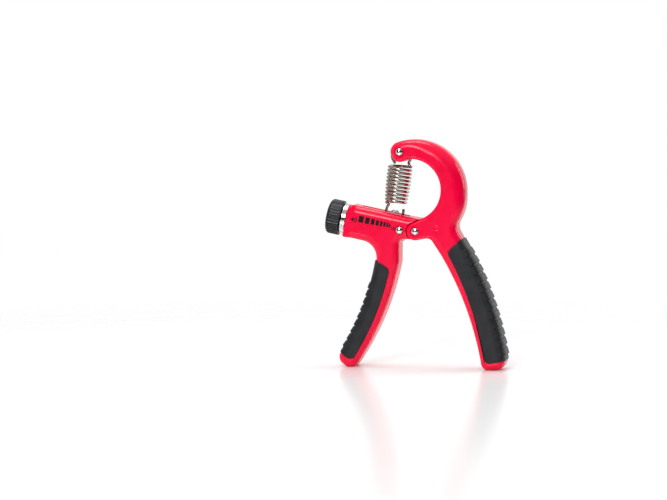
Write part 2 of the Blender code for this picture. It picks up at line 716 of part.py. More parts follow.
def make_lever_body(finish_material, carrier):
    """The lever: hook, forked lobe and right handle."""
    to_tip = TIP - BAY_CENTRE
    spread = to_tip.length
    share = (spread ** 2 + BAY_RADIUS ** 2 - TIP_RADIUS ** 2) / (2 * spread * BAY_RADIUS)
    meet = math.degrees(math.acos(share))
    bay_end = math.degrees(math.atan2(to_tip.y, to_tip.x)) - meet
    bay = arc(BAY_CENTRE, BAY_RADIUS, BAY_START_ANGLE, bay_end, 24)
    under_tip = bay[-1] - TIP
    tip_start = math.degrees(math.atan2(under_tip.y, under_tip.x))
    low_centre = HOOK_CENTRE - Vector((0, HOOK_DROP))
    neck = meeting(RIGHT.point(0.05, 1), RIGHT.point(0.0, 1), low_centre, HOOK_RADIUS)
    neck_angle = math.degrees(math.atan2(neck.y - low_centre.y, neck.x - low_centre.x))
    hook_end_angle = neck_angle + math.degrees(NECK_BEFORE / HOOK_RADIUS)
    crotch = RIGHT.point(CROTCH_SHARE, -1)
    crotch.y = CROTCH_HEIGHT
    outline = bay[:-1]
    outline += arc(TIP, TIP_RADIUS, tip_start, TIP_ANGLE - 360, 14)[:-1]
    outline += arc(HOOK_CENTRE, HOOK_RADIUS, TIP_ANGLE, 0, 16)
    hook_low = arc(low_centre, HOOK_RADIUS, 0, hook_end_angle, 4)
    outline += hook_low[:-1]
    outline += rounded(hook_low[-1], neck, RIGHT.point(0.05, 1), NECK_ROUND)
    outline += RIGHT.edge(0.0, 0.9, 1, 10)
    outline += RIGHT.foot_round(1)
    outline += RIGHT.edge(0.9, 0.0, -1, 10)
    outline += rounded(RIGHT.point(0.0, -1), crotch, Vector((PIVOT.x, CROTCH_HEIGHT - 1)), CROTCH_ROUND)
    outline += arc(PIVOT, LOBE_RADIUS, LOBE_LOW_ANGLE, LOBE_HIGH_ANGLE, 12)
    body = moulding("lever_body", outline, HALF, lever_edge_radius)
    reach = TONGUE_RADIUS + FIT_GAP
    root = cylinder("fork_space", reach, in_space(PIVOT, -FORK_HALF), in_space(PIVOT, FORK_HALF), 40)
    combine(body, root)
    half_slot = TIP_SLOT_WIDTH / 2
    slot_centre = TIP - Vector((0, TIP_SLOT_DROP))
    slot = cylinder("tip_slot", TIP_SLOT_RADIUS, in_space(slot_centre, -half_slot),
                    in_space(slot_centre, half_slot), 36)
    combine(body, slot)
    swung, room = swung_loop(), UPPER_LOOP_RADIUS + WIRE_RADIUS + FIT_GAP
    combine(body, cylinder("swing_room", room, in_space(swung, -half_slot), in_space(swung, half_slot), 36))
    drill_rivet(body, "pivot_rivet", PIVOT)
    drill_rivet(body, "tip_rivet", TIP)
    dimple = PIVOT + Vector((DIMPLE_RIGHT, DIMPLE_RISE))
    combine(body, cylinder("dimple", DIMPLE_RADIUS, in_space(dimple, -HALF - OVERRUN),
                           in_space(dimple, DIMPLE_DEPTH - HALF), 16))
    RIGHT_GRIP.recess(body, "right")
    combine(body, ground_cut("right_ground", RIGHT_FOOT, RIGHT_FOOT_WIDTH))
    return finish(body, "lever_body", finish_material, carrier)


def make_pivot_fittings(steel, nylon, carrier):
    """The sleeve in the tongue and the washers on both sides of it."""
    across = Vector((0, -1, 0))
    hole = RIVET_RADIUS + FIT_GAP
    half_tongue = TONGUE_THICKNESS / 2
    profile = ring_profile(PIVOT_BUSH_RADIUS, hole, half_tongue, -half_tongue)
    finish(turned("pivot_bush", profile, in_space(PIVOT), across, ring=True), "pivot_bush", steel, carrier)
    for side, word in ((-1, "front"), (1, "rear")):
        name = "pivot_washer_" + word
        half_washer = PIVOT_WASHER_THICKNESS / 2
        profile = ring_profile(PIVOT_WASHER_RADIUS, hole, half_washer, -half_washer)
        offset = side * (half_tongue + FIT_GAP + half_washer)
        finish(turned(name, profile, in_space(PIVOT, offset), across, ring=True), name, nylon, carrier)


def make_collar(chrome, carrier):
    """The flanged collar in the barrel's open end."""
    outer, inner = COLLAR_RADIUS, SCREW_RADIUS + FIT_GAP
    front, back, end = FIT_GAP + COLLAR_LENGTH, FIT_GAP, -SPIGOT_LENGTH
    spigot = BORE_RADIUS - FIT_GAP
    profile = [(inner, front), (outer - COLLAR_FRONT_CHAMFER, front), (outer, front - COLLAR_FRONT_CHAMFER),
               (outer, back + COLLAR_REAR_CHAMFER), (outer - COLLAR_REAR_CHAMFER, back), (spigot, back),
               (spigot, end), (inner, end)]
    made = turned("end_collar", profile, in_space(barrel_point(0, 0)), in_space(-ALONG), steps=40, ring=True)
    return finish(made, "end_collar", chrome, carrier)


def knob_faces():
    """How far in front of the barrel's end the knob's rear and outer faces lie."""
    rear = FIT_GAP + COLLAR_LENGTH + FIT_GAP
    return rear, rear + KNOB_LENGTH


def make_knob(dark, carrier):
    """The fluted knob: a fluted disc within a turned envelope, with a socket for the screw."""
    rear, outer = knob_faces()
    axis = in_space(-ALONG)
    centre = in_space(barrel_point(0, 0))
    count = KNOB_FLUTES * 4
    angles = np.linspace(0, 2 * math.pi, count, endpoint=False)
    radii = KNOB_RADIUS - KNOB_FLUTE_DEPTH * (0.5 - 0.5 * np.cos(angles * KNOB_FLUTES))
    outline = [Vector((r * math.cos(a), r * math.sin(a))) for r, a in zip(radii, angles)]
    knob = prism("knob", outline, KNOB_LENGTH)
    middle = in_space(barrel_point(-(rear + outer) / 2, 0)) * MM
    turn = Matrix.Rotation(TILT, 4, "Y") @ Matrix.Rotation(math.pi / 2, 4, "Z")
    knob.data.transform(Matrix.Translation(middle) @ turn)
    reach = KNOB_RADIUS + KNOB_MARGIN
    rounding = [(reach - KNOB_ROUND * (1 - math.cos(a)), outer - KNOB_ROUND * (1 - math.sin(a)))
                for a in np.linspace(math.pi / 2, 0, 5)]
    dish = [(0.0, outer - KNOB_DISH_DEPTH), (KNOB_DISH_FLOOR_RADIUS, outer - KNOB_DISH_RIM_DEPTH),
            (KNOB_DISH_RADIUS, outer)]
    profile = dish + rounding + [(reach, rear + KNOB_CHAMFER), (reach - KNOB_CHAMFER, rear), (0.0, rear)]
    envelope = turned("knob_envelope", profile, centre, axis, steps=48)
    combine(knob, envelope, "INTERSECT")
    seat = rear + FIT_GAP + THRUST_WASHER_THICKNESS
    hollow = [(0.0, rear + TANG_LENGTH + FIT_GAP), (TANG_RADIUS + FIT_GAP, rear + TANG_LENGTH + FIT_GAP),
              (TANG_RADIUS + FIT_GAP, seat), (THRUST_WASHER_RADIUS + FIT_GAP, seat),
              (THRUST_WASHER_RADIUS + FIT_GAP, rear - OVERRUN), (0.0, rear - OVERRUN)]
    combine(knob, turned("knob_socket", hollow, centre, axis, steps=24))
    return finish(knob, "knob", dark, carrier)


def bush_faces():
    """How far along the barrel the end bush starts and ends."""
    return BUSH_RIVET_ALONG - BUSH_LENGTH / 2, BUSH_RIVET_ALONG + BUSH_LENGTH / 2


def make_screw(steel, nylon, carrier):
    """The adjusting screw with its tang and journal, the thrust washer and the retaining ring."""
    rear, _ = knob_faces()
    bush_start, _ = bush_faces()
    axis = in_space(-ALONG)
    centre = in_space(barrel_point(0, 0))
    groove_top = -(SPIGOT_LENGTH + FIT_GAP)
    groove_bottom = groove_top - RING_THICKNESS - 2 * FIT_GAP
    thread_top, thread_bottom = groove_bottom - THREAD_LEAD, -(bush_start - FIT_GAP)
    profile = [(0.0, rear + TANG_LENGTH), (TANG_RADIUS, rear + TANG_LENGTH), (TANG_RADIUS, rear),
               (SCREW_RADIUS, rear), (SCREW_RADIUS, groove_top), (GROOVE_RADIUS, groove_top),
               (GROOVE_RADIUS, groove_bottom), (SCREW_RADIUS, groove_bottom)]
    turns = int((thread_top - thread_bottom) / SCREW_PITCH)
    for number in range(turns):
        crest = thread_top - number * SCREW_PITCH
        profile += [(SCREW_RADIUS, crest), (SCREW_RADIUS - THREAD_DEPTH, crest - SCREW_PITCH / 2)]
    end = thread_bottom - JOURNAL_LENGTH
    profile += [(SCREW_RADIUS, thread_bottom), (JOURNAL_RADIUS, thread_bottom)]
    profile += [(JOURNAL_RADIUS, end), (0.0, end)]
    screw = turned("adjusting_screw", profile, centre, axis, steps=16)
    finish(screw, "adjusting_screw", steel, carrier)
    top = rear + THRUST_WASHER_THICKNESS
    washer = turned("thrust_washer", ring_profile(THRUST_WASHER_RADIUS, SCREW_RADIUS + FIT_GAP, top, rear),
                    centre, axis, ring=True)
    finish(washer, "thrust_washer", nylon, carrier)
    ring_top = groove_top - FIT_GAP
    ring = turned("retaining_ring", ring_profile(RING_RADIUS, GROOVE_RADIUS + FIT_GAP, ring_top,
                                                 ring_top - RING_THICKNESS), centre, axis, ring=True)
    mouth = block("ring_mouth", barrel_point(-ring_top - OVERRUN, -RING_RADIUS - OVERRUN),
                  RING_THICKNESS + 2 * OVERRUN, RING_RADIUS + OVERRUN, RING_MOUTH_WIDTH)
    combine(ring, mouth)
    finish(ring, "retaining_ring", steel, carrier)


def make_end_bush(nylon, carrier):
    """The plug at the blind end of the bore, drilled for its rivet and for the screw's journal."""
    start, end = bush_faces()
    axis = in_space(-ALONG)
    radius = BORE_RADIUS - FIT_GAP
    pocket = JOURNAL_RADIUS + FIT_GAP
    floor = start + JOURNAL_LENGTH
    profile = [(0.0, -floor), (pocket, -floor), (pocket, -start)]
    profile += [(radius, -start), (radius, -end), (0.0, -end)]
    bush = turned("screw_end_bush", profile, in_space(barrel_point(0, 0)), axis, steps=28)
    hole = cross_hole("end_bush_hole", barrel_point(BUSH_RIVET_ALONG, BUSH_RIVET_ABOVE_AXIS),
                      RIVET_RADIUS + FIT_GAP, steps=16)
    combine(bush, hole)
    return finish(bush, "screw_end_bush", nylon, carrier)


def make_nut(steel, carrier):
    """The nut that rides on the screw, its two ears and the cross pin that holds the spring."""
    half = NUT_LENGTH / 2
    start = in_space(barrel_point(NUT_PIN_ALONG - half, 0))
    end = in_space(barrel_point(NUT_PIN_ALONG + half, 0))
    nut = cylinder("carriage_nut", BORE_RADIUS - FIT_GAP, start, end, 28)
    ear_top = NUT_PIN_HEIGHT + EAR_TOP_MARGIN
    ear_width = SLOT_WIDTH - 2 * FIT_GAP
    lug = block("nut_lug", barrel_point(NUT_PIN_ALONG - EAR_LENGTH / 2, SCREW_RADIUS), EAR_LENGTH,
                ear_top - SCREW_RADIUS, ear_width)
    combine(nut, lug, "UNION")
    groove_floor = NUT_PIN_HEIGHT - LOOP_GROOVE_BELOW_PIN
    groove = block("loop_groove", barrel_point(NUT_PIN_ALONG - NUT_LENGTH, groove_floor), 2 * NUT_LENGTH,
                   ear_top, LOOP_GROOVE)
    combine(nut, groove)
    bore_start = in_space(barrel_point(NUT_PIN_ALONG - half - OVERRUN, 0))
    bore_end = in_space(barrel_point(NUT_PIN_ALONG + half + OVERRUN, 0))
    bore = cylinder("nut_bore", SCREW_RADIUS + FIT_GAP, bore_start, bore_end, 20)
    combine(nut, bore)
    combine(nut, cross_hole("nut_pin_hole", NUT_PIN, NUT_PIN_RADIUS + FIT_GAP, steps=14))
    finish(nut, "carriage_nut", steel, carrier)
    pin_start, pin_end = in_space(NUT_PIN, -ear_width / 2), in_space(NUT_PIN, ear_width / 2)
    pin = cylinder("nut_pin", NUT_PIN_RADIUS, pin_start, pin_end, 14)
    finish(pin, "nut_pin", steel, carrier)


def make_tip_sleeve(steel, carrier):
    """The sleeve on the tip rivet that the spring hangs on."""
    half = TIP_SLOT_WIDTH / 2 - FIT_GAP
    profile = ring_profile(SLEEVE_RADIUS, RIVET_RADIUS + FIT_GAP, half, -half)
    sleeve = turned("tip_sleeve", profile, in_space(TIP), Vector((0, -1, 0)), steps=20, ring=True)
    return finish(sleeve, "tip_sleeve", steel, carrier)


def hermite(first, first_slope, last, last_slope, steps):
    """Points between two ends on a smooth curve with given slopes, the ends left out."""
    points = []
    for share in np.linspace(0, 1, steps + 1)[1:-1]:
        a = 2 * share ** 3 - 3 * share ** 2 + 1
        b = share ** 3 - 2 * share ** 2 + share
        c = 3 * share ** 2 - 2 * share ** 3
        d = share ** 3 - share ** 2
        points.append(a * first + b * first_slope + c * last + d * last_slope)
    return points


def spring_path():
    """The wire's centre line: upper loop, coil and lower loop, in millimetres.

    It is worked out in the spring's own frame, with side in the plane of the loops, Y across
    it and down along the axis, and then placed between the tip rivet and the nut's pin.
    """
    down2 = (NUT_PIN - TIP).normalized()
    down = in_space(down2)
    side = in_space(Vector((-down2.y, down2.x)))
    across = Vector((0, 1, 0))
    upper = UPPER_LOOP_RADIUS - WIRE_RADIUS - SLEEVE_RADIUS - FIT_GAP
    lower = (NUT_PIN - TIP).length - LOWER_LOOP_LIFT
    coil_top = upper + UPPER_LOOP_TO_COIL
    coil_bottom = lower - LOWER_LOOP_TO_COIL
    pitch = (coil_bottom - coil_top) / COIL_TURNS

    def loop(centre, radius, start, end):
        angles = np.radians(np.linspace(start, end, LOOP_STEPS + 1))
        return [np.array((radius * math.cos(a), 0.0, centre - radius * math.sin(a))) for a in angles]

    count = round(COIL_TURNS * POINTS_PER_TURN)
    coil = []
    for number in range(count + 1):
        share = number / count
        turn = 2 * math.pi * COIL_TURNS * share
        radius = COIL_TOP_RADIUS + (COIL_BOTTOM_RADIUS - COIL_TOP_RADIUS) * share
        radius += COIL_SWELL * math.sin(math.pi * share) ** 0.5
        coil.append(np.array((radius * math.cos(turn), radius * math.sin(turn),
                              coil_top + (coil_bottom - coil_top) * share)))
    top = loop(upper, UPPER_LOOP_RADIUS, UPPER_LOOP_START, UPPER_LOOP_END)
    bottom = loop(lower, LOWER_LOOP_RADIUS, LOWER_LOOP_START, LOWER_LOOP_END)
    rise = pitch * COIL_LEAD / (2 * math.pi)
    into = np.array((0.0, COIL_LEAD, rise / COIL_TOP_RADIUS))
    out = np.array((0.0, -COIL_LEAD, rise / COIL_BOTTOM_RADIUS))
    top_slope = (top[-1] - top[-2]) / np.linalg.norm(top[-1] - top[-2]) * LOOP_SLOPE
    bottom_slope = (bottom[1] - bottom[0]) / np.linalg.norm(bottom[1] - bottom[0]) * LOOP_SLOPE
    points = top + hermite(top[-1], top_slope, coil[0], into, 5) + coil
    points += hermite(coil[-1], out, bottom[0], bottom_slope, 5) + bottom
    return [in_space(TIP) + side * p[0] + across * p[1] + down * p[2] for p in points]


def least_gap(points, skip):
    """The least distance between the wire's surface and itself, past its near neighbours."""
    places = np.array([tuple(point) for point in points])
    starts, ends = places[:-1], places[1:]
    samples = np.concatenate([starts + (ends - starts) * share for share in (0.0, 0.25, 0.5, 0.75)])
    order = np.concatenate([np.arange(len(starts)) + share for share in (0.0, 0.25, 0.5, 0.75)])
    apart = np.linalg.norm(samples[:, None] - samples[None], axis=2)
    apart[np.abs(order[:, None] - order[None]) < skip] = np.inf
    return apart.min() - 2 * WIRE_RADIUS


def make_spring(chrome, carrier):
    """The extension spring as one unbroken wire."""
    points = spring_path()
    curve = bpy.data.curves.new("spring", "CURVE")
    curve.dimensions = "3D"
    curve.bevel_depth = WIRE_RADIUS * MM
    curve.bevel_resolution = 1
    curve.use_fill_caps = True
    spline = curve.splines.new("POLY")
    spline.points.add(len(points) - 1)
    for place, point in zip(spline.points, points):
        place.co = (*(point * MM), 1)
    spring = bpy.data.objects.new("spring_wire", curve)
    GROUPS["cutters"].objects.link(spring)
    finish(spring, "spring", chrome, carrier)
    print(f"spring: {len(points)} points, least gap to itself {least_gap(points, 5):.2f} mm")


GROUPS = start_scene()


def main():
    """Build every part on the empty of its body."""
    red = material("red_plastic", (0.80, 0.0, 0.035), 0.25)
    rubber = material("dark_rubber", (0.03, 0.033, 0.038), 0.6)
    dark = material("dark_plastic", (0.035, 0.04, 0.045), 0.45)
    chrome = material("chrome", (0.75, 0.74, 0.72), 0.15, 1.0)
    steel = material("steel", (0.6, 0.6, 0.6), 0.3, 1.0)
    nylon = material("nylon", (0.85, 0.84, 0.8), 0.5)
    fixed = joint_empty("fixed_side", PIVOT)
    lever = joint_empty("lever_side", PIVOT)
    adjuster = joint_empty("adjuster", barrel_point(0, 0))
    carriage = joint_empty("carriage", NUT_PIN)
    swing = joint_empty("spring_swing", TIP)
    make_barrel_handle(red, fixed)
    LEFT_GRIP.make("fixed_grip", rubber, fixed)
    make_collar(chrome, fixed)
    make_end_bush(nylon, fixed)
    rivet("bush_rivet", barrel_point(BUSH_RIVET_ALONG, BUSH_RIVET_ABOVE_AXIS), chrome, fixed)
    make_pivot_fittings(steel, nylon, fixed)
    make_lever_body(red, lever)
    RIGHT_GRIP.make("lever_grip", rubber, lever)
    rivet("pivot_rivet", PIVOT, chrome, lever)
    rivet("tip_rivet", TIP, chrome, lever)
    make_knob(dark, adjuster)
    make_screw(steel, nylon, adjuster)
    make_nut(steel, carriage)
    make_tip_sleeve(steel, swing)
    make_spring(chrome, swing)


main()
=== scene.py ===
"""Hand gripper with an adjustable extension spring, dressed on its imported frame.

X runs to the right, Y away from the viewer and Z up, with the origin on the ground under the
middle. Sizes are in millimetres and degrees, and they become metres where a mesh is made.
Flat shapes lie in the X-Z plane, and their points are rows of (x, z).
"""
import logging
import math
from collections.abc import Iterable, Sequence
from dataclasses import dataclass
from enum import Enum

import bmesh
import bpy
import numpy as np
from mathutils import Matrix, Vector


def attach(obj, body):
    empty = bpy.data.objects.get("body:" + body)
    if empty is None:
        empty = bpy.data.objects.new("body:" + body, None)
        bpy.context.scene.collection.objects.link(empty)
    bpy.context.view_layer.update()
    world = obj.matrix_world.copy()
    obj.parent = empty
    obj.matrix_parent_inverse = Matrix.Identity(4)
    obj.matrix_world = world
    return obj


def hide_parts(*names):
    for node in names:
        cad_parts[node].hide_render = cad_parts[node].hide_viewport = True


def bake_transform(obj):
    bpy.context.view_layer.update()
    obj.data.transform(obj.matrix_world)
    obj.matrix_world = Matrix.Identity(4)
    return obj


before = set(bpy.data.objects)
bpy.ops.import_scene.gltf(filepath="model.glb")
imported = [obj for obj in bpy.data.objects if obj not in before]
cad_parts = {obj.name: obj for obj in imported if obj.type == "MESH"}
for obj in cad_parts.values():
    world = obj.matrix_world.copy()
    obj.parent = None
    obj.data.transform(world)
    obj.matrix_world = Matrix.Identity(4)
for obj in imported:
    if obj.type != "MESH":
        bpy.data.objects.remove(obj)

# Metres in a millimetre, the distance under which points of an outline are one, and the weld in metres
MM = 0.001
SAME_POINT = 0.02
WELD = 1e-7
# How far a cutter runs past the face that it opens, and half the length of one that crosses the bore
PAST = 2.0
THROUGH = 10.0
# The steps round a hole, a pin, a middling piece and a wide one
HOLE_STEPS, PIN_STEPS, ROUND_STEPS, WIDE_STEPS = 32, 48, 64, 96
# Shares of a handle's length: a little under its top, and where the rounding of its end starts
UNDER_TOP, FOOT_START = 0.05, 0.9
Array = np.ndarray
Pair = tuple[float, float]
Triple = tuple[float, float, float]
Profile = Sequence[Pair]
Object, Material, Socket = bpy.types.Object, bpy.types.Material, bpy.types.NodeSocket
log = logging.getLogger("hand_gripper")


class Body(str, Enum):
    """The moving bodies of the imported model."""

    FIXED = "fixed_side"
    LEVER = "lever"
    ADJUSTER = "adjuster"
    CARRIAGE = "carriage"
    SWING = "spring_swing"
    WIRE = "spring_wire"


class Slot(str, Enum):
    """The record's material slots."""

    RED = "red_plastic"
    RUBBER = "dark_rubber"
    DARK = "dark_plastic"
    CHROME = "chrome"
    STEEL = "steel"
    NYLON = "nylon"


class Side(Enum):
    """The two faces of the body, as the sign of Y that each looks along."""

    FRONT = -1
    REAR = 1


# Flat shapes

def unit(vectors: Array) -> Array:
    """Vectors scaled to length one along their last axis."""
    return vectors / np.linalg.norm(vectors, axis=-1, keepdims=True)


def smoothstep(shares: Array) -> Array:
    """The step 3s^2 - 2s^3 from 0 to 1, with the shares held between 0 and 1."""
    held = np.clip(shares, 0.0, 1.0)
    return held * held * (3 - 2 * held)


def arc(centre: Array, radius: float, start: float, end: float, steps: int) -> Array:
    """Points centre + radius (cos a, sin a) for angles evenly from start to end.

    Args:
        centre: the circle's centre.
        radius: its radius.
        start: the first angle in degrees.
        end: the last angle in degrees.
        steps: the number of steps between them.

    Returns:
        steps + 1 points.
    """
    angles = np.radians(np.linspace(start, end, steps + 1))
    return np.asarray(centre) + radius * np.stack((np.cos(angles), np.sin(angles)), axis=1)


def rounded(before: Array, corner: Array, after: Array, radius: float, steps: int = 10) -> Array:
    """The arc that touches both sides of a corner.

    With half the corner's angle h, its centre is radius / sin h along the bisector, and it
    touches each side radius / tan h from the corner.

    Args:
        before: a point on the side that leads to the corner.
        corner: the corner.
        after: a point on the side that leaves it.
        radius: the arc's radius.
        steps: the number of steps along the arc.

    Returns:
        steps + 1 points from one side to the other.
    """
    back, forth = unit(np.asarray(before) - corner), unit(np.asarray(after) - corner)
    half = math.acos(float(np.clip(back @ forth, -1, 1))) / 2
    centre = corner + unit(back + forth) * radius / math.sin(half)
    first = corner + back * radius / math.tan(half) - centre
    last = corner + forth * radius / math.tan(half) - centre
    start = math.atan2(first[1], first[0])
    sweep = (math.atan2(last[1], last[0]) - start + math.pi) % (2 * math.pi) - math.pi
    return arc(centre, radius, math.degrees(start), math.degrees(start + sweep), steps)


def joined(*stretches: Array) -> Array:
    """Stretches of an outline as one closed outline, without points that fall on their neighbour.

    Args:
        stretches: single points or rows of points, in order.

    Returns:
        The points of the outline.
    """
    points = np.concatenate([np.atleast_2d(stretch) for stretch in stretches])
    apart = np.linalg.norm(points - np.roll(points, 1, axis=0), axis=1)
    return points[apart > SAME_POINT]


def inward(outline: Array) -> Array:
    """For each point of a closed outline, the step that moves both its sides inward by one.

    With the inward normals n and m of the two sides, the step is (n + m) / (1 + n.m).

    Args:
        outline: the closed outline.

    Returns:
        One step for each point.
    """
    ahead = unit(np.roll(outline, -1, axis=0) - outline)
    x, z = outline[:, 0], outline[:, 1]
    area = float((x * np.roll(z, -1) - z * np.roll(x, -1)).sum())
    after = np.stack((-ahead[:, 1], ahead[:, 0]), axis=1) * math.copysign(1, area)
    before = np.roll(after, 1, axis=0)
    return (before + after) / (1 + (before * after).sum(axis=1))[:, None]


def softened(profile: Profile, radii: float | Sequence[float], steps: int = 4) -> Array:
    """A closed profile with each of its corners replaced by an arc.

    Args:
        profile: its corners.
        radii: one radius for all corners or one for each, where 0 keeps the corner.
        steps: the number of steps along each arc.

    Returns:
        The points of the profile.
    """
    points = np.array(profile, dtype=float)
    after = np.roll(points, -1, axis=0)
    sizes = np.broadcast_to(radii, len(points))
    arcs = [rounded(points[number - 1], points[number], after[number], size, steps)
            if size else points[number] for number, size in enumerate(sizes)]
    return joined(*arcs)


def in_space(points: Array, across: float | Array = 0.0) -> Array:
    """Points (x, z) as points (x, y, z).

    Args:
        points: the points of the X-Z plane.
        across: their depth along Y, one for all or one for each.

    Returns:
        The points in space.
    """
    points = np.asarray(points, dtype=float)
    depth = np.broadcast_to(across, points.shape[:-1])
    return np.stack((points[..., 0], depth, points[..., 1]), axis=-1)


# Meshes

def new_object(name: str, points: Array, faces: list[list[int]]) -> Object:
    """A mesh object with doubles merged and faces turned outward.

    Args:
        name: the object's name.
        points: its points in millimetres.
        faces: the numbers of the points round each face.

    Returns:
        The object.
    """
    mesh = bpy.data.meshes.new(name)
    mesh.from_pydata(points * MM, [], faces)
    model = bmesh.new()
    model.from_mesh(mesh)
    bmesh.ops.remove_doubles(model, verts=model.verts, dist=WELD)
    bmesh.ops.recalc_face_normals(model, faces=model.faces)
    model.to_mesh(mesh)
    model.free()
    made = bpy.data.objects.new(name, mesh)
    bpy.context.scene.collection.objects.link(made)
    return made


def grid_object(name: str, points: Array, closed_rows: bool = False, capped: bool = True) -> Object:
    """A surface on a grid whose rows are closed rings.

    Args:
        name: the object's name.
        points: an array of rows, places round the ring, and x, y, z.
        closed_rows: the last row also meets the first, as on a ring of any section.
        capped: the first and the last row are each closed by one flat face.

    Returns:
        The object.
    """
    rows, count = points.shape[:2]
    numbers = np.arange(rows * count).reshape(rows, count)
    low = numbers if closed_rows else numbers[:-1]
    high = np.roll(numbers, -1, axis=0)[:len(low)]
    faces = np.stack((low, np.roll(low, -1, axis=1), np.roll(high, -1, axis=1), high), axis=-1)
    faces = faces.reshape(-1, 4).tolist()
    if capped and not closed_rows:
        faces += [numbers[0].tolist(), numbers[-1].tolist()]
    return new_object(name, points.reshape(-1, 3), faces)


def moulding(name: str, outline: Array, half: float, radii: Array, steps: int = 8) -> Object:
    """A flat outline with a thickness and rounded front and rear edges.

    Ring by ring, for an angle a from 90 to 0 degrees, the outline is drawn inward by
    radius (1 - cos a) at the depth half - radius (1 - sin a).

    Args:
        name: the object's name.
        outline: the closed outline.
        half: half the thickness.
        radii: the edge radius at each point of the outline.
        steps: the number of steps across each rounded edge.

    Returns:
        The object.
    """
    angles = np.radians(np.linspace(90, 0, steps + 1))[:, None]
    inset = radii * (1 - np.cos(angles))
    depth = half - radii * (1 - np.sin(angles))
    rings = outline + inward(outline) * inset[..., None]
    return grid_object(name, np.concatenate((in_space(rings, -depth), in_space(rings, depth)[::-1])))


def plate(name: str, outline: Array, near: float, far: float) -> Object:
    """A flat outline carried straight along Y from one depth to another."""
    return grid_object(name, np.stack((in_space(outline, near), in_space(outline, far))))


@dataclass(frozen=True)
class Axis:
    """An axis in space that pieces are turned about: a centre and the way that heights run."""

    centre: Triple
    way: Triple

    def cross(self) -> tuple[Array, Array]:
        """Two directions square to the axis and to each other.

        Returns:
            The direction of angle 0 and that of a right angle.
        """
        way = unit(np.array(self.way))
        first = unit(np.cross(way, (0, 0, 1) if abs(way[2]) < 0.9 else (1, 0, 0)))
        return first, np.cross(way, first)

    def point(self, radius: Array, angle: Array, height: Array) -> Array:
        """Points placed round the axis.

        Args:
            radius: their distances from the axis.
            angle: their angles in radians.
            height: their heights along the axis.

        Returns:
            The points in space, on the grid that the three give together.
        """
        first, second = self.cross()
        way = unit(np.array(self.way))
        radius, angle, height = np.broadcast_arrays(radius, angle, height)
        return (np.array(self.centre) + (radius * np.cos(angle))[..., None] * first
                + (radius * np.sin(angle))[..., None] * second + height[..., None] * way)


def turned(name: str, profile: Array, axis: Axis, steps: int = ROUND_STEPS,
           ring: bool = False) -> Object:
    """A profile of (radius, height) pairs carried round an axis.

    Args:
        name: the object's name.
        profile: the pairs, from one end to the other or round a ring's section.
        axis: the axis.
        steps: the number of steps round it.
        ring: the profile is closed, and the piece has a hole.

    Returns:
        The object.
    """
    profile = np.asarray(profile, dtype=float)
    angles = np.linspace(0, 2 * math.pi, steps, endpoint=False)
    points = axis.point(profile[:, :1], angles[None], profile[:, 1:])
    return grid_object(name, points, closed_rows=ring, capped=not ring and profile[0, 0] > 0)


def carved(target: Object, cutters: Iterable[Object],
           operation: str = "DIFFERENCE") -> Object:
    """The target after a Boolean with each cutter, which is then deleted.

    Args:
        target: the object that is cut or joined.
        cutters: the other objects.
        operation: the Boolean's operation.

    Returns:
        The target.
    """
    cutters = list(cutters)
    for cutter in cutters:
        boolean = target.modifiers.new(cutter.name, "BOOLEAN")
        boolean.object = cutter
        boolean.operation = operation
        boolean.solver = "EXACT"
    graph = bpy.context.evaluated_depsgraph_get()
    mesh = bpy.data.meshes.new_from_object(target.evaluated_get(graph))
    target.modifiers.clear()
    old, target.data = target.data, mesh
    bpy.data.meshes.remove(old)
    for cutter in cutters:
        old = cutter.data
        bpy.data.objects.remove(cutter, do_unlink=True)
        bpy.data.meshes.remove(old)
    return target


# Plain shapes

def rod(name: str, axis: Axis, radius: float, start: float, end: float,
        steps: int = WIDE_STEPS) -> Object:
    """A plain cylinder between two heights of an axis."""
    return turned(name, np.array(((radius, start), (radius, end))), axis, steps)


def sleeve(name: str, axis: Axis, outer: float, inner: float, start: float, end: float,
           edge: float) -> Object:
    """A ring or sleeve with softened edges."""
    profile = [(inner, start), (outer, start), (outer, end), (inner, end)]
    return turned(name, softened(profile, edge, 3), axis, ring=True)


def soft_ends(profile: Profile, edge: float) -> Array:
    """A pin's open profile of four points, whose two outer corners are rounded.

    Args:
        profile: the pairs of radius and height.
        edge: the radius of both corners.

    Returns:
        The rounded profile.
    """
    points = np.array(profile, dtype=float)
    corners = [rounded(points[at - 1], points[at], points[at + 1], edge, 4) for at in (1, 2)]
    return np.concatenate((points[:1], *corners, points[3:]))


def block(name: str, corner: Array, size: Pair, near: float, far: float,
          right: Sequence[float] = (1.0, 0.0), upward: Sequence[float] = (0.0, 1.0)) -> Object:
    """A box in the X-Z plane.

    Args:
        name: the object's name.
        corner: its first corner.
        size: its lengths along the two directions.
        near: the depth of its front.
        far: the depth of its rear.
        right: the first direction.
        upward: the second direction.

    Returns:
        The object.
    """
    right, upward = np.array(right) * size[0], np.array(upward) * size[1]
    outline = np.array((corner, corner + right, corner + right + upward, corner + upward))
    return plate(name, outline, near, far)


def ground_block(across: float) -> Object:
    """A box under the ground plane, which makes a handle's end flat where it stands.

    Args:
        across: the middle of the handle's end along X.

    Returns:
        The object.
    """
    reach, deep = 20.0, 10.0
    corner, beyond = np.array((across - reach, -deep)), LAYOUT.half + PAST
    return block("ground", corner, (2 * reach, deep), -beyond, beyond)


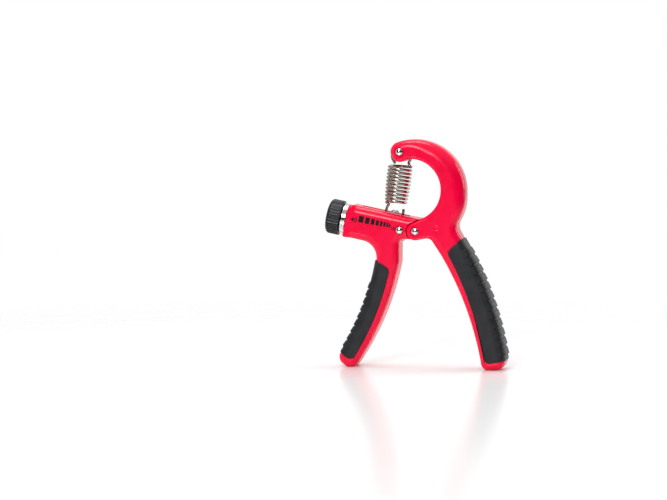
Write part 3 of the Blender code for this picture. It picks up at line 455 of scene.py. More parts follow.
def shell_object(name: str, outer: Array, inner: Array) -> Object:
    """A closed shell between two surfaces on the same grid, joined along their four borders.

    Args:
        name: the object's name.
        outer: the outer surface, as rows, columns, and x, y, z.
        inner: the inner surface on the same grid.

    Returns:
        The object.
    """
    rows, columns = outer.shape[:2]
    top = np.arange(rows * columns).reshape(rows, columns)
    low = top + rows * columns
    faces = []
    for sheet in (top, low):
        corners = (sheet[:-1, :-1], sheet[:-1, 1:], sheet[1:, 1:], sheet[1:, :-1])
        faces.append(np.stack(corners, axis=-1).reshape(-1, 4))
    for border in (np.s_[0], np.s_[-1], np.s_[:, 0], np.s_[:, -1]):
        line, under = top[border], low[border]
        faces.append(np.stack((line[:-1], line[1:], under[1:], under[:-1]), axis=-1))
    points = np.concatenate((outer.reshape(-1, 3), inner.reshape(-1, 3)))
    return new_object(name, points, np.concatenate(faces).tolist())


# Finishes

class Tree:
    """A material's nodes, with short calls for the patterns that the finishes share."""

    def __init__(self, name: str) -> None:
        """Start from a new Principled material.

        Args:
            name: the material's name.
        """
        self.material = bpy.data.materials.new(name)
        self.material.use_nodes = True
        self.nodes = self.material.node_tree.nodes
        self.links = self.material.node_tree.links
        self.shader = self.nodes["Principled BSDF"]
        self.places = self.nodes.new("ShaderNodeTexCoord").outputs["Object"]

    def noise(self, size: float, detail: float = 2.0, stretch: Triple = (1, 1, 1)
              ) -> Socket:
        """Noise whose features are about size millimetres across, drawn out along each axis.

        Args:
            size: the size of its features in millimetres.
            detail: how many finer layers it has.
            stretch: how many times longer the features are along X, Y and Z.

        Returns:
            The socket of its value, from 0 to 1.
        """
        mapping = self.nodes.new("ShaderNodeMapping")
        mapping.inputs["Scale"].default_value = tuple(1 / (size * MM * way) for way in stretch)
        self.links.new(self.places, mapping.inputs["Vector"])
        noise = self.nodes.new("ShaderNodeTexNoise")
        noise.inputs["Scale"].default_value = 1.0
        noise.inputs["Detail"].default_value = detail
        self.links.new(mapping.outputs["Vector"], noise.inputs["Vector"])
        return noise.outputs["Fac"]

    def spread(self, source: Socket, low: float, high: float) -> Socket:
        """A pattern's middle range stretched to run from low to high.

        Args:
            source: the pattern's value.
            low: the result where the pattern is 0.3.
            high: the result where it is 0.7.

        Returns:
            The socket of the result.
        """
        spread = self.nodes.new("ShaderNodeMapRange")
        for name, value in (("From Min", 0.3), ("From Max", 0.7), ("To Min", low), ("To Max", high)):
            spread.inputs[name].default_value = value
        self.links.new(source, spread.inputs["Value"])
        return spread.outputs["Result"]

    def tint(self, source: Socket, first: tuple[float, ...], second: tuple[float, ...]) -> None:
        """Let the base colour drift between two colours with a pattern.

        Args:
            source: the pattern's value.
            first: the colour where it is low.
            second: the colour where it is high.
        """
        mix = self.nodes.new("ShaderNodeMix")
        mix.data_type = "RGBA"
        mix.inputs["A"].default_value = (*first, 1)
        mix.inputs["B"].default_value = (*second, 1)
        self.links.new(self.spread(source, 0, 1), mix.inputs["Factor"])
        self.links.new(mix.outputs["Result"], self.shader.inputs["Base Color"])

    def gloss(self, source: Socket, low: float, high: float) -> None:
        """Let the roughness drift between two values with a pattern."""
        self.links.new(self.spread(source, low, high), self.shader.inputs["Roughness"])

    def relief(self, *layers: tuple[Socket, float]) -> None:
        """Raise the surface by patterns.

        Args:
            layers: each pattern's value and its full height in millimetres.
        """
        normal = None
        for source, height in layers:
            bump = self.nodes.new("ShaderNodeBump")
            bump.inputs["Strength"].default_value = 1.0
            bump.inputs["Distance"].default_value = height * MM
            self.links.new(source, bump.inputs["Height"])
            if normal:
                self.links.new(normal, bump.inputs["Normal"])
            normal = bump.outputs["Normal"]
        self.links.new(normal, self.shader.inputs["Normal"])


@dataclass(frozen=True)
class Finish:
    """A surface whose colour and roughness drift slowly, under a fine relief.

    A noise is the size of its features in millimetres and its detail, and a layer of relief adds
    its height. The grain draws the relief out along X, Y and Z.
    """

    name: str
    light: Triple
    deep: Triple
    roughness: Pair
    colour_noise: Pair
    gloss_noise: Pair
    layers: tuple[Triple, ...] = ()
    specular: float = 0.5
    metallic: float = 0.0
    grain: Triple = (1, 1, 1)

    def material(self) -> Material:
        """The finish as a material.

        Returns:
            The new material.
        """
        tree = Tree(self.name)
        tree.shader.inputs["Metallic"].default_value = self.metallic
        tree.shader.inputs["Specular IOR Level"].default_value = self.specular
        tree.tint(tree.noise(*self.colour_noise), self.light, self.deep)
        tree.gloss(tree.noise(*self.gloss_noise), *self.roughness)
        if self.layers:
            tree.relief(*((tree.noise(size, detail, self.grain), height)
                          for size, detail, height in self.layers))
        return tree.material


@dataclass(frozen=True)
class GlossPlastic(Finish):
    """Moulded glossy plastic: slow waves in its gloss, faint flow in its colour, fine peel."""

    name: str = "red_plastic"
    light: Triple = (0.96, 0.0, 0.052)
    deep: Triple = (0.90, 0.0, 0.046)
    roughness: Pair = (0.19, 0.26)
    colour_noise: Pair = (22.0, 3.0)
    gloss_noise: Pair = (5.0, 4.0)
    layers: tuple[Triple, ...] = ((6.0, 1.0, 0.02), (0.35, 2.0, 0.0015))
    specular: float = 0.28


@dataclass(frozen=True)
class Rubber(Finish):
    """Moulded rubber: a stippled, matt and faintly dusty surface."""

    name: str = "dark_rubber"
    light: Triple = (0.017, 0.018, 0.021)
    deep: Triple = (0.008, 0.009, 0.011)
    roughness: Pair = (0.38, 0.55)
    colour_noise: Pair = (7.0, 6.0)
    gloss_noise: Pair = (1.2, 3.0)
    layers: tuple[Triple, ...] = ((0.22, 2.0, 0.035), (3.0, 2.0, 0.03))
    specular: float = 0.32


@dataclass(frozen=True)
class SatinPlastic(Finish):
    """Satin moulded plastic with a fine spark texture."""

    colour_noise: Pair = (4.0, 4.0)
    gloss_noise: Pair = (2.0, 3.0)
    layers: tuple[Triple, ...] = ((0.16, 2.0, 0.02), (3.0, 2.0, 0.02))
    specular: float = 0.3


@dataclass(frozen=True)
class Metal(Finish):
    """Plated or drawn metal: fine lines along one direction, and slow clouds in its gloss."""

    colour_noise: Pair = (3.5, 5.0)
    gloss_noise: Pair = (1.8, 5.0)
    layers: tuple[Triple, ...] = ((0.18, 3.0, 0.004),)
    metallic: float = 1.0


@dataclass(frozen=True)
class Ink(Finish):
    """Printed ink, slightly broken where the print is thin."""

    name: str = "print"
    light: Triple = (0.014, 0.006, 0.010)
    deep: Triple = (0.006, 0.003, 0.005)
    roughness: Pair = (0.5, 0.65)
    colour_noise: Pair = (0.5, 4.0)
    gloss_noise: Pair = (1.0, 2.0)
    specular: float = 0.15


class Finishes:
    """Every finish of the gripper, made once."""

    def __init__(self) -> None:
        """Make the materials."""
        self.red = GlossPlastic().material()
        self.rubber = Rubber().material()
        self.dark = SatinPlastic("dark_plastic", (0.010, 0.012, 0.014), (0.006, 0.007, 0.009),
                                 (0.26, 0.36)).material()
        self.nylon = SatinPlastic("nylon", (0.80, 0.79, 0.75), (0.70, 0.69, 0.65), (0.42, 0.55)).material()
        self.chrome = Metal("chrome", (0.80, 0.79, 0.77), (0.70, 0.69, 0.67), (0.07, 0.16)).material()
        self.wire = Metal("spring_wire", (0.50, 0.46, 0.41), (0.38, 0.35, 0.31), (0.12, 0.20),
                          layers=((0.18, 3.0, 0.006),)).material()
        self.steel = Metal("steel", (0.56, 0.56, 0.57), (0.44, 0.44, 0.45), (0.24, 0.36),
                           grain=(6, 1, 6)).material()
        self.ink = Ink().material()


def dress(piece: Object, finish: Material, body: Body | None,
          stands_for: Sequence[str] = (), crease: float = 32.0) -> Object:
    """Finish a piece and tie it to the frame.

    Args:
        piece: the object.
        finish: its material.
        body: the body that it rides on, or None, where it is left untied.
        stands_for: the nodes that it replaces.
        crease: the angle in degrees past which an edge stays sharp.

    Returns:
        The object.
    """
    mesh = piece.data
    mesh.materials.clear()
    mesh.materials.append(finish)
    mesh.shade_smooth()
    mesh.set_sharp_from_angle(angle=math.radians(crease))
    shading = piece.modifiers.new("Shading", "WEIGHTED_NORMAL")
    shading.keep_sharp = True
    if body:
        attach(piece, body.value)
    if stands_for:
        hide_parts(*stands_for)
    log.info("%s: %d faces", piece.name, len(mesh.polygons))
    return piece


# Layout shared by the sub-assemblies

@dataclass(frozen=True)
class Layout:
    """The lines and places that several sub-assemblies share."""

    half: float = 11.0
    edge: float = 5.0
    fit_gap: float = 0.3
    pivot: Pair = (0.65, 88.5)
    barrel_tilt: float = 11.5
    barrel_to_pivot: float = 46.2
    pivot_above_axis: float = 2.6
    barrel_height: float = 21.5
    bore_radius: float = 6.2
    lobe_radius: float = 5.8
    lobe_edge: float = 1.6
    foot_round: float = 5.4
    hook_centre: Pair = (-0.85, 114.0)
    hook_radius: float = 33.4
    hook_arm: float = 13.6
    bay_shift: Pair = (-2.0, 1.1)
    bay_start: float = -68.0
    bay_edge: float = 2.0
    bay_blend: float = 4.0
    lobe_high_angle: float = -247.0
    tip_angle: float = 109.1
    tip_radius: float = 6.5
    nut_pin_along: float = 29.1
    nut_pin_height: float = 10.9
    nut_travel: float = 16.0
    screw_radius: float = 3.0
    collar_length: float = 3.3
    collar_spigot: float = 2.5
    slot_width: float = 6.8
    bush_along: float = 36.1
    bush_length: float = 5.6
    journal_radius: float = 1.7
    journal_length: float = 0.8
    rivet_hole: float = 1.6
    tongue_half: float = 4.0
    pivot_bush_radius: float = 2.8

    def along(self) -> Array:
        """The direction of the barrel's axis, from its open end towards the pivot."""
        tilt = math.radians(self.barrel_tilt)
        return np.array((math.cos(tilt), -math.sin(tilt)))

    def above(self) -> Array:
        """The direction square to the barrel's axis, upward."""
        tilt = math.radians(self.barrel_tilt)
        return np.array((math.sin(tilt), math.cos(tilt)))

    def barrel(self, along: float | Array, above: float | Array = 0.0) -> Array:
        """Points placed by the barrel.

        Args:
            along: how far from its open end they lie.
            above: how far above its axis they lie.

        Returns:
            The points of the X-Z plane.
        """
        start = self.pivot - self.barrel_to_pivot * self.along() - self.pivot_above_axis * self.above()
        along, above = np.broadcast_arrays(along, above)
        return start + along[..., None] * self.along() + above[..., None] * self.above()

    def tip(self) -> Array:
        """The centre of the hook's tip, where the spring hangs."""
        return arc(self.hook_centre, self.hook_radius - self.tip_radius, self.tip_angle, self.tip_angle, 1)[0]

    def bay(self) -> tuple[Array, float]:
        """The centre and radius of the round space inside the hook."""
        return np.array(self.hook_centre) + self.bay_shift, self.hook_radius - self.hook_arm

    def neck(self) -> Array:
        """The two ends of the neck's upper line, from the lobe to the bay."""
        low = arc(self.pivot, self.lobe_radius, self.lobe_high_angle, self.lobe_high_angle, 1)[0]
        return np.stack((low, arc(*self.bay(), self.bay_start, self.bay_start, 1)[0]))

    def nut_pin(self) -> Array:
        """The centre of the nut's pin at rest."""
        return self.barrel(self.nut_pin_along, self.nut_pin_height)

    def barrel_axis(self) -> Axis:
        """The screw's axis, whose heights run out of the barrel towards the knob."""
        return Axis(tuple(in_space(self.barrel(0.0))), tuple(in_space(-self.along())))

    def cross_axis(self, point: Array, side: Side = Side.FRONT) -> Axis:
        """The axis through a point along Y, whose heights run out of the given face."""
        return Axis(tuple(in_space(point)), (0.0, float(side.value), 0.0))

    def knob_rear(self) -> float:
        """How far out of the barrel's end the knob's rear face lies."""
        return self.fit_gap + self.collar_length + self.fit_gap


LAYOUT = Layout()


@dataclass(frozen=True)
class Handle:
    """A handle's band: a centre line bowed as 4 bow s (1 - s) and a width that tapers."""

    top: Pair
    foot: Pair
    bow: float
    top_width: float
    foot_width: float
    outer: int

    def length(self) -> float:
        """The length of the handle's chord."""
        return math.dist(self.top, self.foot)

    def frame(self, shares: float | Array) -> tuple[Array, Array, Array]:
        """The band's lines at shares of its length.

        Args:
            shares: the shares, from 0 at the top to 1 at the foot.

        Returns:
            Points of the centre line, directions down it and directions outward from it.
        """
        shares = np.asarray(shares, dtype=float)[..., None]
        chord = np.subtract(self.foot, self.top)
        right = unit(np.array((-chord[1], chord[0])))
        centre = self.top + chord * shares + right * self.bow * 4 * shares * (1 - shares)
        down = unit(chord + right * self.bow * 4 * (1 - 2 * shares))
        outward = np.stack((-down[..., 1], down[..., 0]), axis=-1) * self.outer
        return centre, down, outward

    def width(self, shares: float | Array) -> Array:
        """The width at shares of the length."""
        return self.top_width + (self.foot_width - self.top_width) * np.asarray(shares, dtype=float)

    def point(self, shares: float | Array, side: int, extra: float | Array = 0.0) -> Array:
        """Points on an edge of the band.

        Args:
            shares: shares of the length.
            side: 1 for the outer edge, -1 for the inner one.
            extra: how far outward the points are moved.

        Returns:
            The points.
        """
        centre, _, outward = self.frame(shares)
        reach = side * self.width(shares) / 2 + extra
        return centre + outward * np.asarray(reach)[..., None]

    def edge(self, start: float, end: float, side: int, steps: int, extra: float = 0.0) -> Array:
        """Points along one edge between two shares of the length."""
        return self.point(np.linspace(start, end, steps + 1), side, extra)

    def foot_outline(self, first_side: int, radius: float) -> Array:
        """The handle's rounded end, from one edge to the other.

        Args:
            first_side: the edge that it starts from, as in point.
            radius: the radius of both corners.

        Returns:
            The points of the end.
        """
        first, last = self.point(1.0, first_side), self.point(1.0, -first_side)
        before, after = self.point(FOOT_START, first_side), self.point(FOOT_START, -first_side)
        return np.concatenate((rounded(before, first, last, radius), rounded(first, last, after, radius)))


LEFT = Handle(top=(-17.65, 70.0), foot=(-46.25, 1.1), bow=4.1, top_width=15.0, foot_width=13.0, outer=-1)
RIGHT = Handle(top=(24.75, 76.8), foot=(51.75, -0.1), bow=3.9, top_width=17.0, foot_width=15.8, outer=1)


@dataclass(frozen=True)
class Grip:
    """A rubber grip on a handle: a ribbed panel sunk into the handle's outer side.

    Distances are from the handle's top along its chord, and the strip of bare body is measured
    from the handle's inner edge.
    """

    name: str
    handle: Handle
    body: Body
    top_outer: float
    top_inner: float
    end_gap: float
    strip_top: float
    strip_end: float
    rib_start: float
    rib_pitch: float
    ribs: int
    sink: float = 1.8
    proud: float = 0.7
    core_top: float = -0.15
    tuck: float = 0.25
    floor_gap: float = 0.2
    wall_gap: float = 0.18
    rib_height: float = 0.9
    rib_share: float = 0.78
    rib_wrap: Pair = (38.0, 72.0)
    corner: float = 4.0
    border: float = 0.7

    def end(self) -> float:
        """Where the grip ends, from the handle's top."""
        return self.handle.length() - self.end_gap

    def strip(self, distance: Array) -> Array:
        """The bare strip's width at a distance from the handle's top."""
        share = (distance - self.top_inner) / (self.end() - self.top_inner)
        return self.strip_top + (self.strip_end - self.strip_top) * share

    def border_line(self, shrink: float, steps: int = 40) -> Array:
        """The panel's outline: along the strip, and round both of its corners.

        Args:
            shrink: how far inside the recess's wall the line lies.
            steps: the number of steps along the strip.

        Returns:
            Points from the outer end to the outer top and back along the strip.
        """
        handle, length = self.handle, self.handle.length()
        distances = np.linspace(self.top_inner + shrink, self.end() - shrink, steps)
        inner = handle.point(distances / length, -1, self.strip(distances) + shrink)
        beyond = LAYOUT.edge + self.proud + self.rib_height
        outer_top = handle.point((self.top_outer + shrink) / length, 1, beyond)
        outer_end = handle.point((self.end() - shrink) / length, 1, beyond)
        return joined(outer_end, outer_top, rounded(outer_top, inner[0], inner[1], self.corner),
                      inner[1:-1], rounded(inner[-2], inner[-1], outer_end, self.corner))

    def core(self) -> Object:
        """The thinner part of the handle that the grip is moulded over.

        Returns:
            The object.
        """
        outer = self.handle.edge(self.core_top, 1.0, 1, 40, -self.sink)
        inner = self.handle.edge(1.0, self.core_top, -1, 40, self.sink)
        outline = joined(outer, inner)
        radii = np.full(len(outline), LAYOUT.edge - self.sink)
        return moulding(self.name + "_core", outline, LAYOUT.half - self.sink, radii)

    def recess(self) -> Object:
        """The space to cut out of the handle for the grip."""
        beyond = LAYOUT.half + 2 * PAST
        return carved(plate(self.name + "_recess", self.border_line(0.0), -beyond, beyond), [self.core()])

    def across(self, shares: Array, places: Array, height: Array) -> tuple[Array, Array]:
        """The reach and depth of places round the handle's section.

        A place c is measured from the middle of the outer side. It runs flat to the corner,
        then round a quarter circle of the edge radius, then flat along the face. The height
        moves it square to the surface.

        Args:
            shares: shares of the handle's length.
            places: places c in millimetres, negative towards the front.
            height: how far outside the handle's surface they lie.

        Returns:
            The reach outward from the centre line, and the depth along Y.
        """
        half, edge = LAYOUT.half, LAYOUT.edge
        flat, bend = half - edge, edge * math.pi / 2
        turn = np.clip((np.abs(places) - flat) / edge, 0, math.pi / 2)
        past = np.maximum(np.abs(places) - flat - bend, 0)
        reach = self.handle.width(shares) / 2 - edge + (edge + height) * np.cos(turn) - past
        depth = np.minimum(np.abs(places), flat) + (edge + height) * np.sin(turn)
        return reach, depth * np.sign(places)

    def surface(self, shares: Array, places: Array, height: Array) -> Array:
        """The points in space of places round the handle's section.

        Args:
            shares: shares of the handle's length.
            places: places c, as in across.
            height: how far outside the handle's surface they lie.

        Returns:
            The points.
        """
        reach, depth = self.across(shares, places, height)
        centre, _, outward = self.handle.frame(shares)
        return in_space(centre + outward * reach[..., None], depth)

    def handle_places(self, points: Array) -> tuple[Array, Array]:
        """Where points of the X-Z plane lie by the handle, found in six steps along its chord.

        Args:
            points: the points.

        Returns:
            Their distances from the handle's top and their reaches from its centre line.
        """
        shares = np.full(len(points), 0.5)
        for _ in range(6):
            centre, down, outward = self.handle.frame(shares)
            shares = shares + ((points - centre) * down).sum(axis=1) / self.handle.length()
        return shares * self.handle.length(), ((points - centre) * outward).sum(axis=1)

    def ribs_at(self, distance: Array) -> Array:
        """A rib's profile: a step up, a rise to its lower end, a step down and a notch.

        Args:
            distance: distances from the handle's top.

        Returns:
            Shares of the ribs' height.
        """
        place = (distance - self.rib_start) / self.rib_pitch
        inside = (place >= 0) & (place < self.ribs)
        share, top = place % 1.0, self.rib_share
        profile = np.interp(share, (0, 0.05, top - 0.05, top, 1), (0, 0.55, 1.0, 0, 0))
        return np.where(inside, profile, 0.0)

    def rows(self, start: Array, end: Array) -> Array:
        """Distances from the top for each row: to the first rib, along the ribs, to the end.

        Args:
            start: where each column starts.
            end: where each column ends.

        Returns:
            An array of rows and columns.
        """
        top = self.rib_share
        first = np.concatenate(((0, 0.06, 0.14, 0.24), np.linspace(0.36, 1, 10)))[:, None]
        last = np.concatenate((np.linspace(0.15, 0.76, 6), (0.86, 0.94, 1)))[:, None]
        step = np.concatenate(((0.0, 0.025, 0.05), np.linspace(0.12, top - 0.05, 7), (top - 0.025, top),
                               np.linspace(top + 0.04, 0.97, 4)))
        before = start + first * (self.rib_start - start)
        last_rib = self.rib_start + (self.ribs - 1 + top + 0.02) * self.rib_pitch
        ribbed = self.rib_start + (np.arange(self.ribs)[:, None] + step).ravel() * self.rib_pitch
        ribbed = ribbed[(ribbed > self.rib_start) & (ribbed <= last_rib)][:, None] + np.zeros_like(start)
        after = ribbed[-1] + last * (end - ribbed[-1])
        return np.concatenate((before, ribbed, after))

    def places(self, shares: Array) -> Array:
        """The places c of whole rows of the panel.

        From the middle they run across the outer side and round the corner alike in every row,
        and then along the face, closer together towards the strip.

        Args:
            shares: shares of the handle's length, with a last axis of one.

        Returns:
            The places along the last axis, from the front to the rear.
        """
        flat = LAYOUT.half - LAYOUT.edge
        bend = flat + LAYOUT.edge * math.pi / 2
        fixed = np.concatenate((np.linspace(0, flat, 7), np.linspace(flat, bend, 14)[1:]))
        along_face = np.concatenate((np.linspace(0, 0.45, 6)[1:], np.linspace(0.55, 0.9, 8),
                                     (0.93, 0.955, 0.975, 0.99, 1)))
        strip = self.strip(shares * self.handle.length()) + self.wall_gap
        face = self.handle.width(shares) - LAYOUT.edge - strip
        fixed = np.broadcast_to(fixed, (*shares.shape[:-1], len(fixed)))
        half_row = np.concatenate((fixed, bend + face * along_face), axis=-1)
        return np.concatenate((-half_row[..., :0:-1], half_row), axis=-1)

    def own_places(self, distances: Array) -> Array:
        """The place c of each column at that column's own distance from the handle's top."""
        return np.diagonal(self.places((distances / self.handle.length())[:, None])).copy()

    def column_ends(self) -> tuple[Array, Array]:
        """Where the panel's columns meet its outline, found in three steps from its ends.

        Returns:
            The distances from the handle's top where each column starts, and where it ends.
        """
        distances, reaches = self.handle_places(self.border_line(self.wall_gap, 60))
        order = np.argsort(reaches)
        distances, reaches = distances[order], reaches[order]
        upper = distances < (self.top_inner + self.end()) / 2
        columns = self.places(np.zeros((1, 1))).shape[-1]
        found = []
        for guess, part in ((self.top_inner, upper), (self.end(), ~upper)):
            ends = np.full(columns, guess)
            for _ in range(3):
                reach, _ = self.across(ends / self.handle.length(), self.own_places(ends), np.zeros(columns))
                ends = np.interp(reach, reaches[part], distances[part])
            found.append(ends)
        return found[0], found[1]

    def panel(self) -> Object:
        """The rubber panel as an outer and an inner surface over the same grid.

        The outer surface stands proud of the handle. At a distance b from its border it rolls
        down as the square root of 1 - (1 - b / border)^2, and the ribs add to its height.

        Returns:
            The object.
        """
        start, end = self.column_ends()
        along = self.rows(start, end)
        shares = along / self.handle.length()
        spots = np.stack([self.own_places(row) for row in along])
        to_side = np.abs(spots).max(axis=1, keepdims=True) - np.abs(spots)
        to_border = np.minimum(np.minimum(along - start, end - along), to_side)
        roll = np.sqrt(1 - (1 - np.clip(to_border / self.border, 0, 1)) ** 2)
        turn = np.degrees(np.clip((np.abs(spots) - LAYOUT.half + LAYOUT.edge) / LAYOUT.edge, 0, math.pi / 2))
        wrap_start, wrap_end = self.rib_wrap
        wrap = 1 - smoothstep((turn - wrap_start) / (wrap_end - wrap_start))
        rib = self.rib_height * wrap * self.ribs_at(along)
        height = -self.tuck + (self.proud + self.tuck) * roll + rib * np.minimum(to_border / self.border, 1)
        inner = np.full_like(height, self.floor_gap - self.sink)
        return shell_object(self.name + "_panel", self.surface(shares, spots, height),
                            self.surface(shares, spots, inner))

    def build(self, finishes: Finishes) -> None:
        """Make the panel and dress it."""
        dress(self.panel(), finishes.rubber, self.body, [self.name])


LEFT_GRIP = Grip("fixed_grip", LEFT, Body.FIXED, top_outer=-1.2, top_inner=4.7, end_gap=5.2, strip_top=4.2,
                 strip_end=3.2, rib_start=17.1, rib_pitch=5.4, ribs=9)
RIGHT_GRIP = Grip("lever_grip", RIGHT, Body.LEVER, top_outer=-5.0, top_inner=-0.8, end_gap=4.5, strip_top=4.6,
                  strip_end=2.6, rib_start=3.4, rib_pitch=5.94, ribs=12)


@dataclass(frozen=True)
class RivetHoles:
    """The hole and the two ring recesses of a rivet, cut out of whatever it crosses."""

    recess_radius: float = 3.0
    recess_depth: float = 1.0

    def cutters(self, point: Array) -> list[Object]:
        """The three cutters for a rivet.

        Args:
            point: the rivet's centre in the X-Z plane.

        Returns:
            The cutters.
        """
        axis = LAYOUT.cross_axis(point)
        floor, beyond = LAYOUT.half - self.recess_depth, LAYOUT.half + PAST
        made = [rod("rivet_hole", axis, LAYOUT.rivet_hole, -beyond, beyond, HOLE_STEPS)]
        made += [rod("rivet_recess", LAYOUT.cross_axis(point, side), self.recess_radius, floor, beyond,
                     ROUND_STEPS) for side in Side]
        return made


@dataclass(frozen=True)
class FixedSide:
    """The barrel and left handle in one moulding, with its bore, slot, tongue and printed scale."""

    tongue_drop: float = 5.4
    inner_top: float = 83.1
    inner_round: float = 3.0
    armpit_round: float = 11.0
    arm_start: float = 0.1
    end_top_round: float = 3.5
    end_low_round: float = 1.5
    end_edge: float = 1.2
    end_blend: float = 4.5
    slot_start: float = 8.0
    slot_end: float = 39.5
    bore_end: float = 39.2
    bush_rivet_above: float = 1.2
    cheek_before_pivot: float = 4.1

    def tongue_radius(self) -> float:
        """The radius of the tongue's round end."""
        return LAYOUT.barrel_height / 2 - LAYOUT.pivot_above_axis

    def bush_rivet(self) -> Array:
        """The centre of the rivet that holds the end bush."""
        return LAYOUT.barrel(LAYOUT.bush_along, self.bush_rivet_above)

    def outline(self) -> Array:
        """The moulding's outline: barrel, tongue, inner edge, foot, outer edge and armpit.

        The armpit's corner is where the handle's outer line meets the barrel's lower line.

        Returns:
            The points of the outline.
        """
        half, pivot = LAYOUT.barrel_height / 2, np.array(LAYOUT.pivot)
        radius = self.tongue_radius()
        inner_top = np.array((LEFT.point(0.0, -1)[0], self.inner_top))
        armpit_before, armpit_after = LEFT.point(UNDER_TOP, 1), LEFT.point(0.0, 1)
        line, gap = armpit_after - armpit_before, LAYOUT.barrel(0.0, -half) - armpit_before
        along = LAYOUT.along()
        reach = (gap[0] * along[1] - gap[1] * along[0]) / (line[0] * along[1] - line[1] * along[0])
        armpit = armpit_before + reach * line
        end_top, end_low = LAYOUT.barrel(0.0, half), LAYOUT.barrel(0.0, -half)
        blends = np.linspace(self.end_top_round, self.end_edge + self.end_blend, 12)
        tongue_low = pivot + (radius, -self.tongue_drop)
        under_arm = rounded(armpit_before, armpit, end_low, self.armpit_round, 24)
        low_reach = float((under_arm[-1] - LAYOUT.barrel(0.0)) @ along)
        low_blends = blends[-2::-1][blends[-2::-1] < low_reach - 0.5]
        return joined(
            rounded(end_low, end_top, LAYOUT.barrel(self.end_blend, half), self.end_top_round),
            LAYOUT.barrel(blends[1:], half),
            LAYOUT.barrel(LAYOUT.barrel_to_pivot - LAYOUT.lobe_radius, half),
            arc(pivot, radius, 90 - LAYOUT.barrel_tilt, 0, 24)[:-1],
            rounded(pivot + (radius, 0), tongue_low, inner_top, min(self.tongue_drop, radius)),
            tongue_low - (radius + LAYOUT.lobe_radius, 0),
            rounded(tongue_low, inner_top, LEFT.point(0.0, -1), self.inner_round),
            LEFT.edge(0.0, FOOT_START, -1, 30), LEFT.foot_outline(-1, LAYOUT.foot_round),
            LEFT.edge(FOOT_START, self.arm_start, 1, 27),
            under_arm, LAYOUT.barrel(low_blends, -half),
            rounded(LAYOUT.barrel(self.end_blend, -half), end_low, end_top, self.end_low_round))

    def edge_radii(self, outline: Array) -> Array:
        """The edge radius along the outline: small at the tongue and at the barrel's end.

        Args:
            outline: the moulding's outline.

        Returns:
            One radius for each point.
        """
        along = (outline - LAYOUT.barrel(0.0)) @ LAYOUT.along()
        growth = smoothstep((along - self.end_edge) / self.end_blend)
        radii = self.end_edge + (LAYOUT.edge - self.end_edge) * growth
        return np.where(outline[:, 0] > LAYOUT.pivot[0] - LAYOUT.lobe_radius / 2, LAYOUT.lobe_edge, radii)

    def cheek_outline(self) -> Array:
        """The space beside the tongue that a cheek of the lever needs, up to the neck's line.

        Returns:
            The points of its outline.
        """
        pivot, reach = np.array(LAYOUT.pivot), self.tongue_radius() + LAYOUT.lobe_radius
        low, high = LAYOUT.neck()
        way = unit(high - low)
        clear = low + LAYOUT.fit_gap * np.array((-way[1], way[0]))
        before = pivot - (self.cheek_before_pivot, 0)
        return joined(before - (0, reach), pivot + (reach, -reach), clear + reach * way, clear, before)

    def cutters(self) -> list[Object]:
        """Everything that is cut out of the moulding.

        Returns:
            The cutters.
        """
        pivot, beyond, gap = np.array(LAYOUT.pivot), LAYOUT.half + PAST, LAYOUT.fit_gap
        made = []
        for side in Side:
            made.append(rod("cheek_space", LAYOUT.cross_axis(pivot, side), LAYOUT.lobe_radius + gap,
                            LAYOUT.tongue_half, beyond))
            near, far = sorted((side.value * LAYOUT.tongue_half, side.value * beyond))
            made.append(plate("cheek_wing", self.cheek_outline(), near, far))
        made.append(rod("bore", LAYOUT.barrel_axis(), LAYOUT.bore_radius, -self.bore_end, PAST))
        half_slot, slot_size = LAYOUT.slot_width / 2, (self.slot_end - self.slot_start, LAYOUT.barrel_height)
        made.append(block("slot", LAYOUT.barrel(self.slot_start), slot_size, -half_slot, half_slot,
                          LAYOUT.along(), LAYOUT.above()))
        made += RivetHoles().cutters(self.bush_rivet())
        made.append(rod("bush_seat", LAYOUT.cross_axis(pivot), LAYOUT.pivot_bush_radius + gap,
                        -beyond - PAST, beyond + PAST, ROUND_STEPS))
        made.append(LEFT_GRIP.recess())
        made.append(ground_block(LEFT.foot[0]))
        return made

    def build(self, finishes: Finishes) -> None:
        """Make the moulding, its grip and its printed scale.

        Args:
            finishes: the finishes.
        """
        outline = self.outline()
        body = moulding("barrel_handle_moulding", outline, LAYOUT.half, self.edge_radii(outline))
        dress(carved(body, self.cutters()), finishes.red, Body.FIXED, ["barrel_handle"])
        LEFT_GRIP.build(finishes)
        PrintedScale().build(finishes)


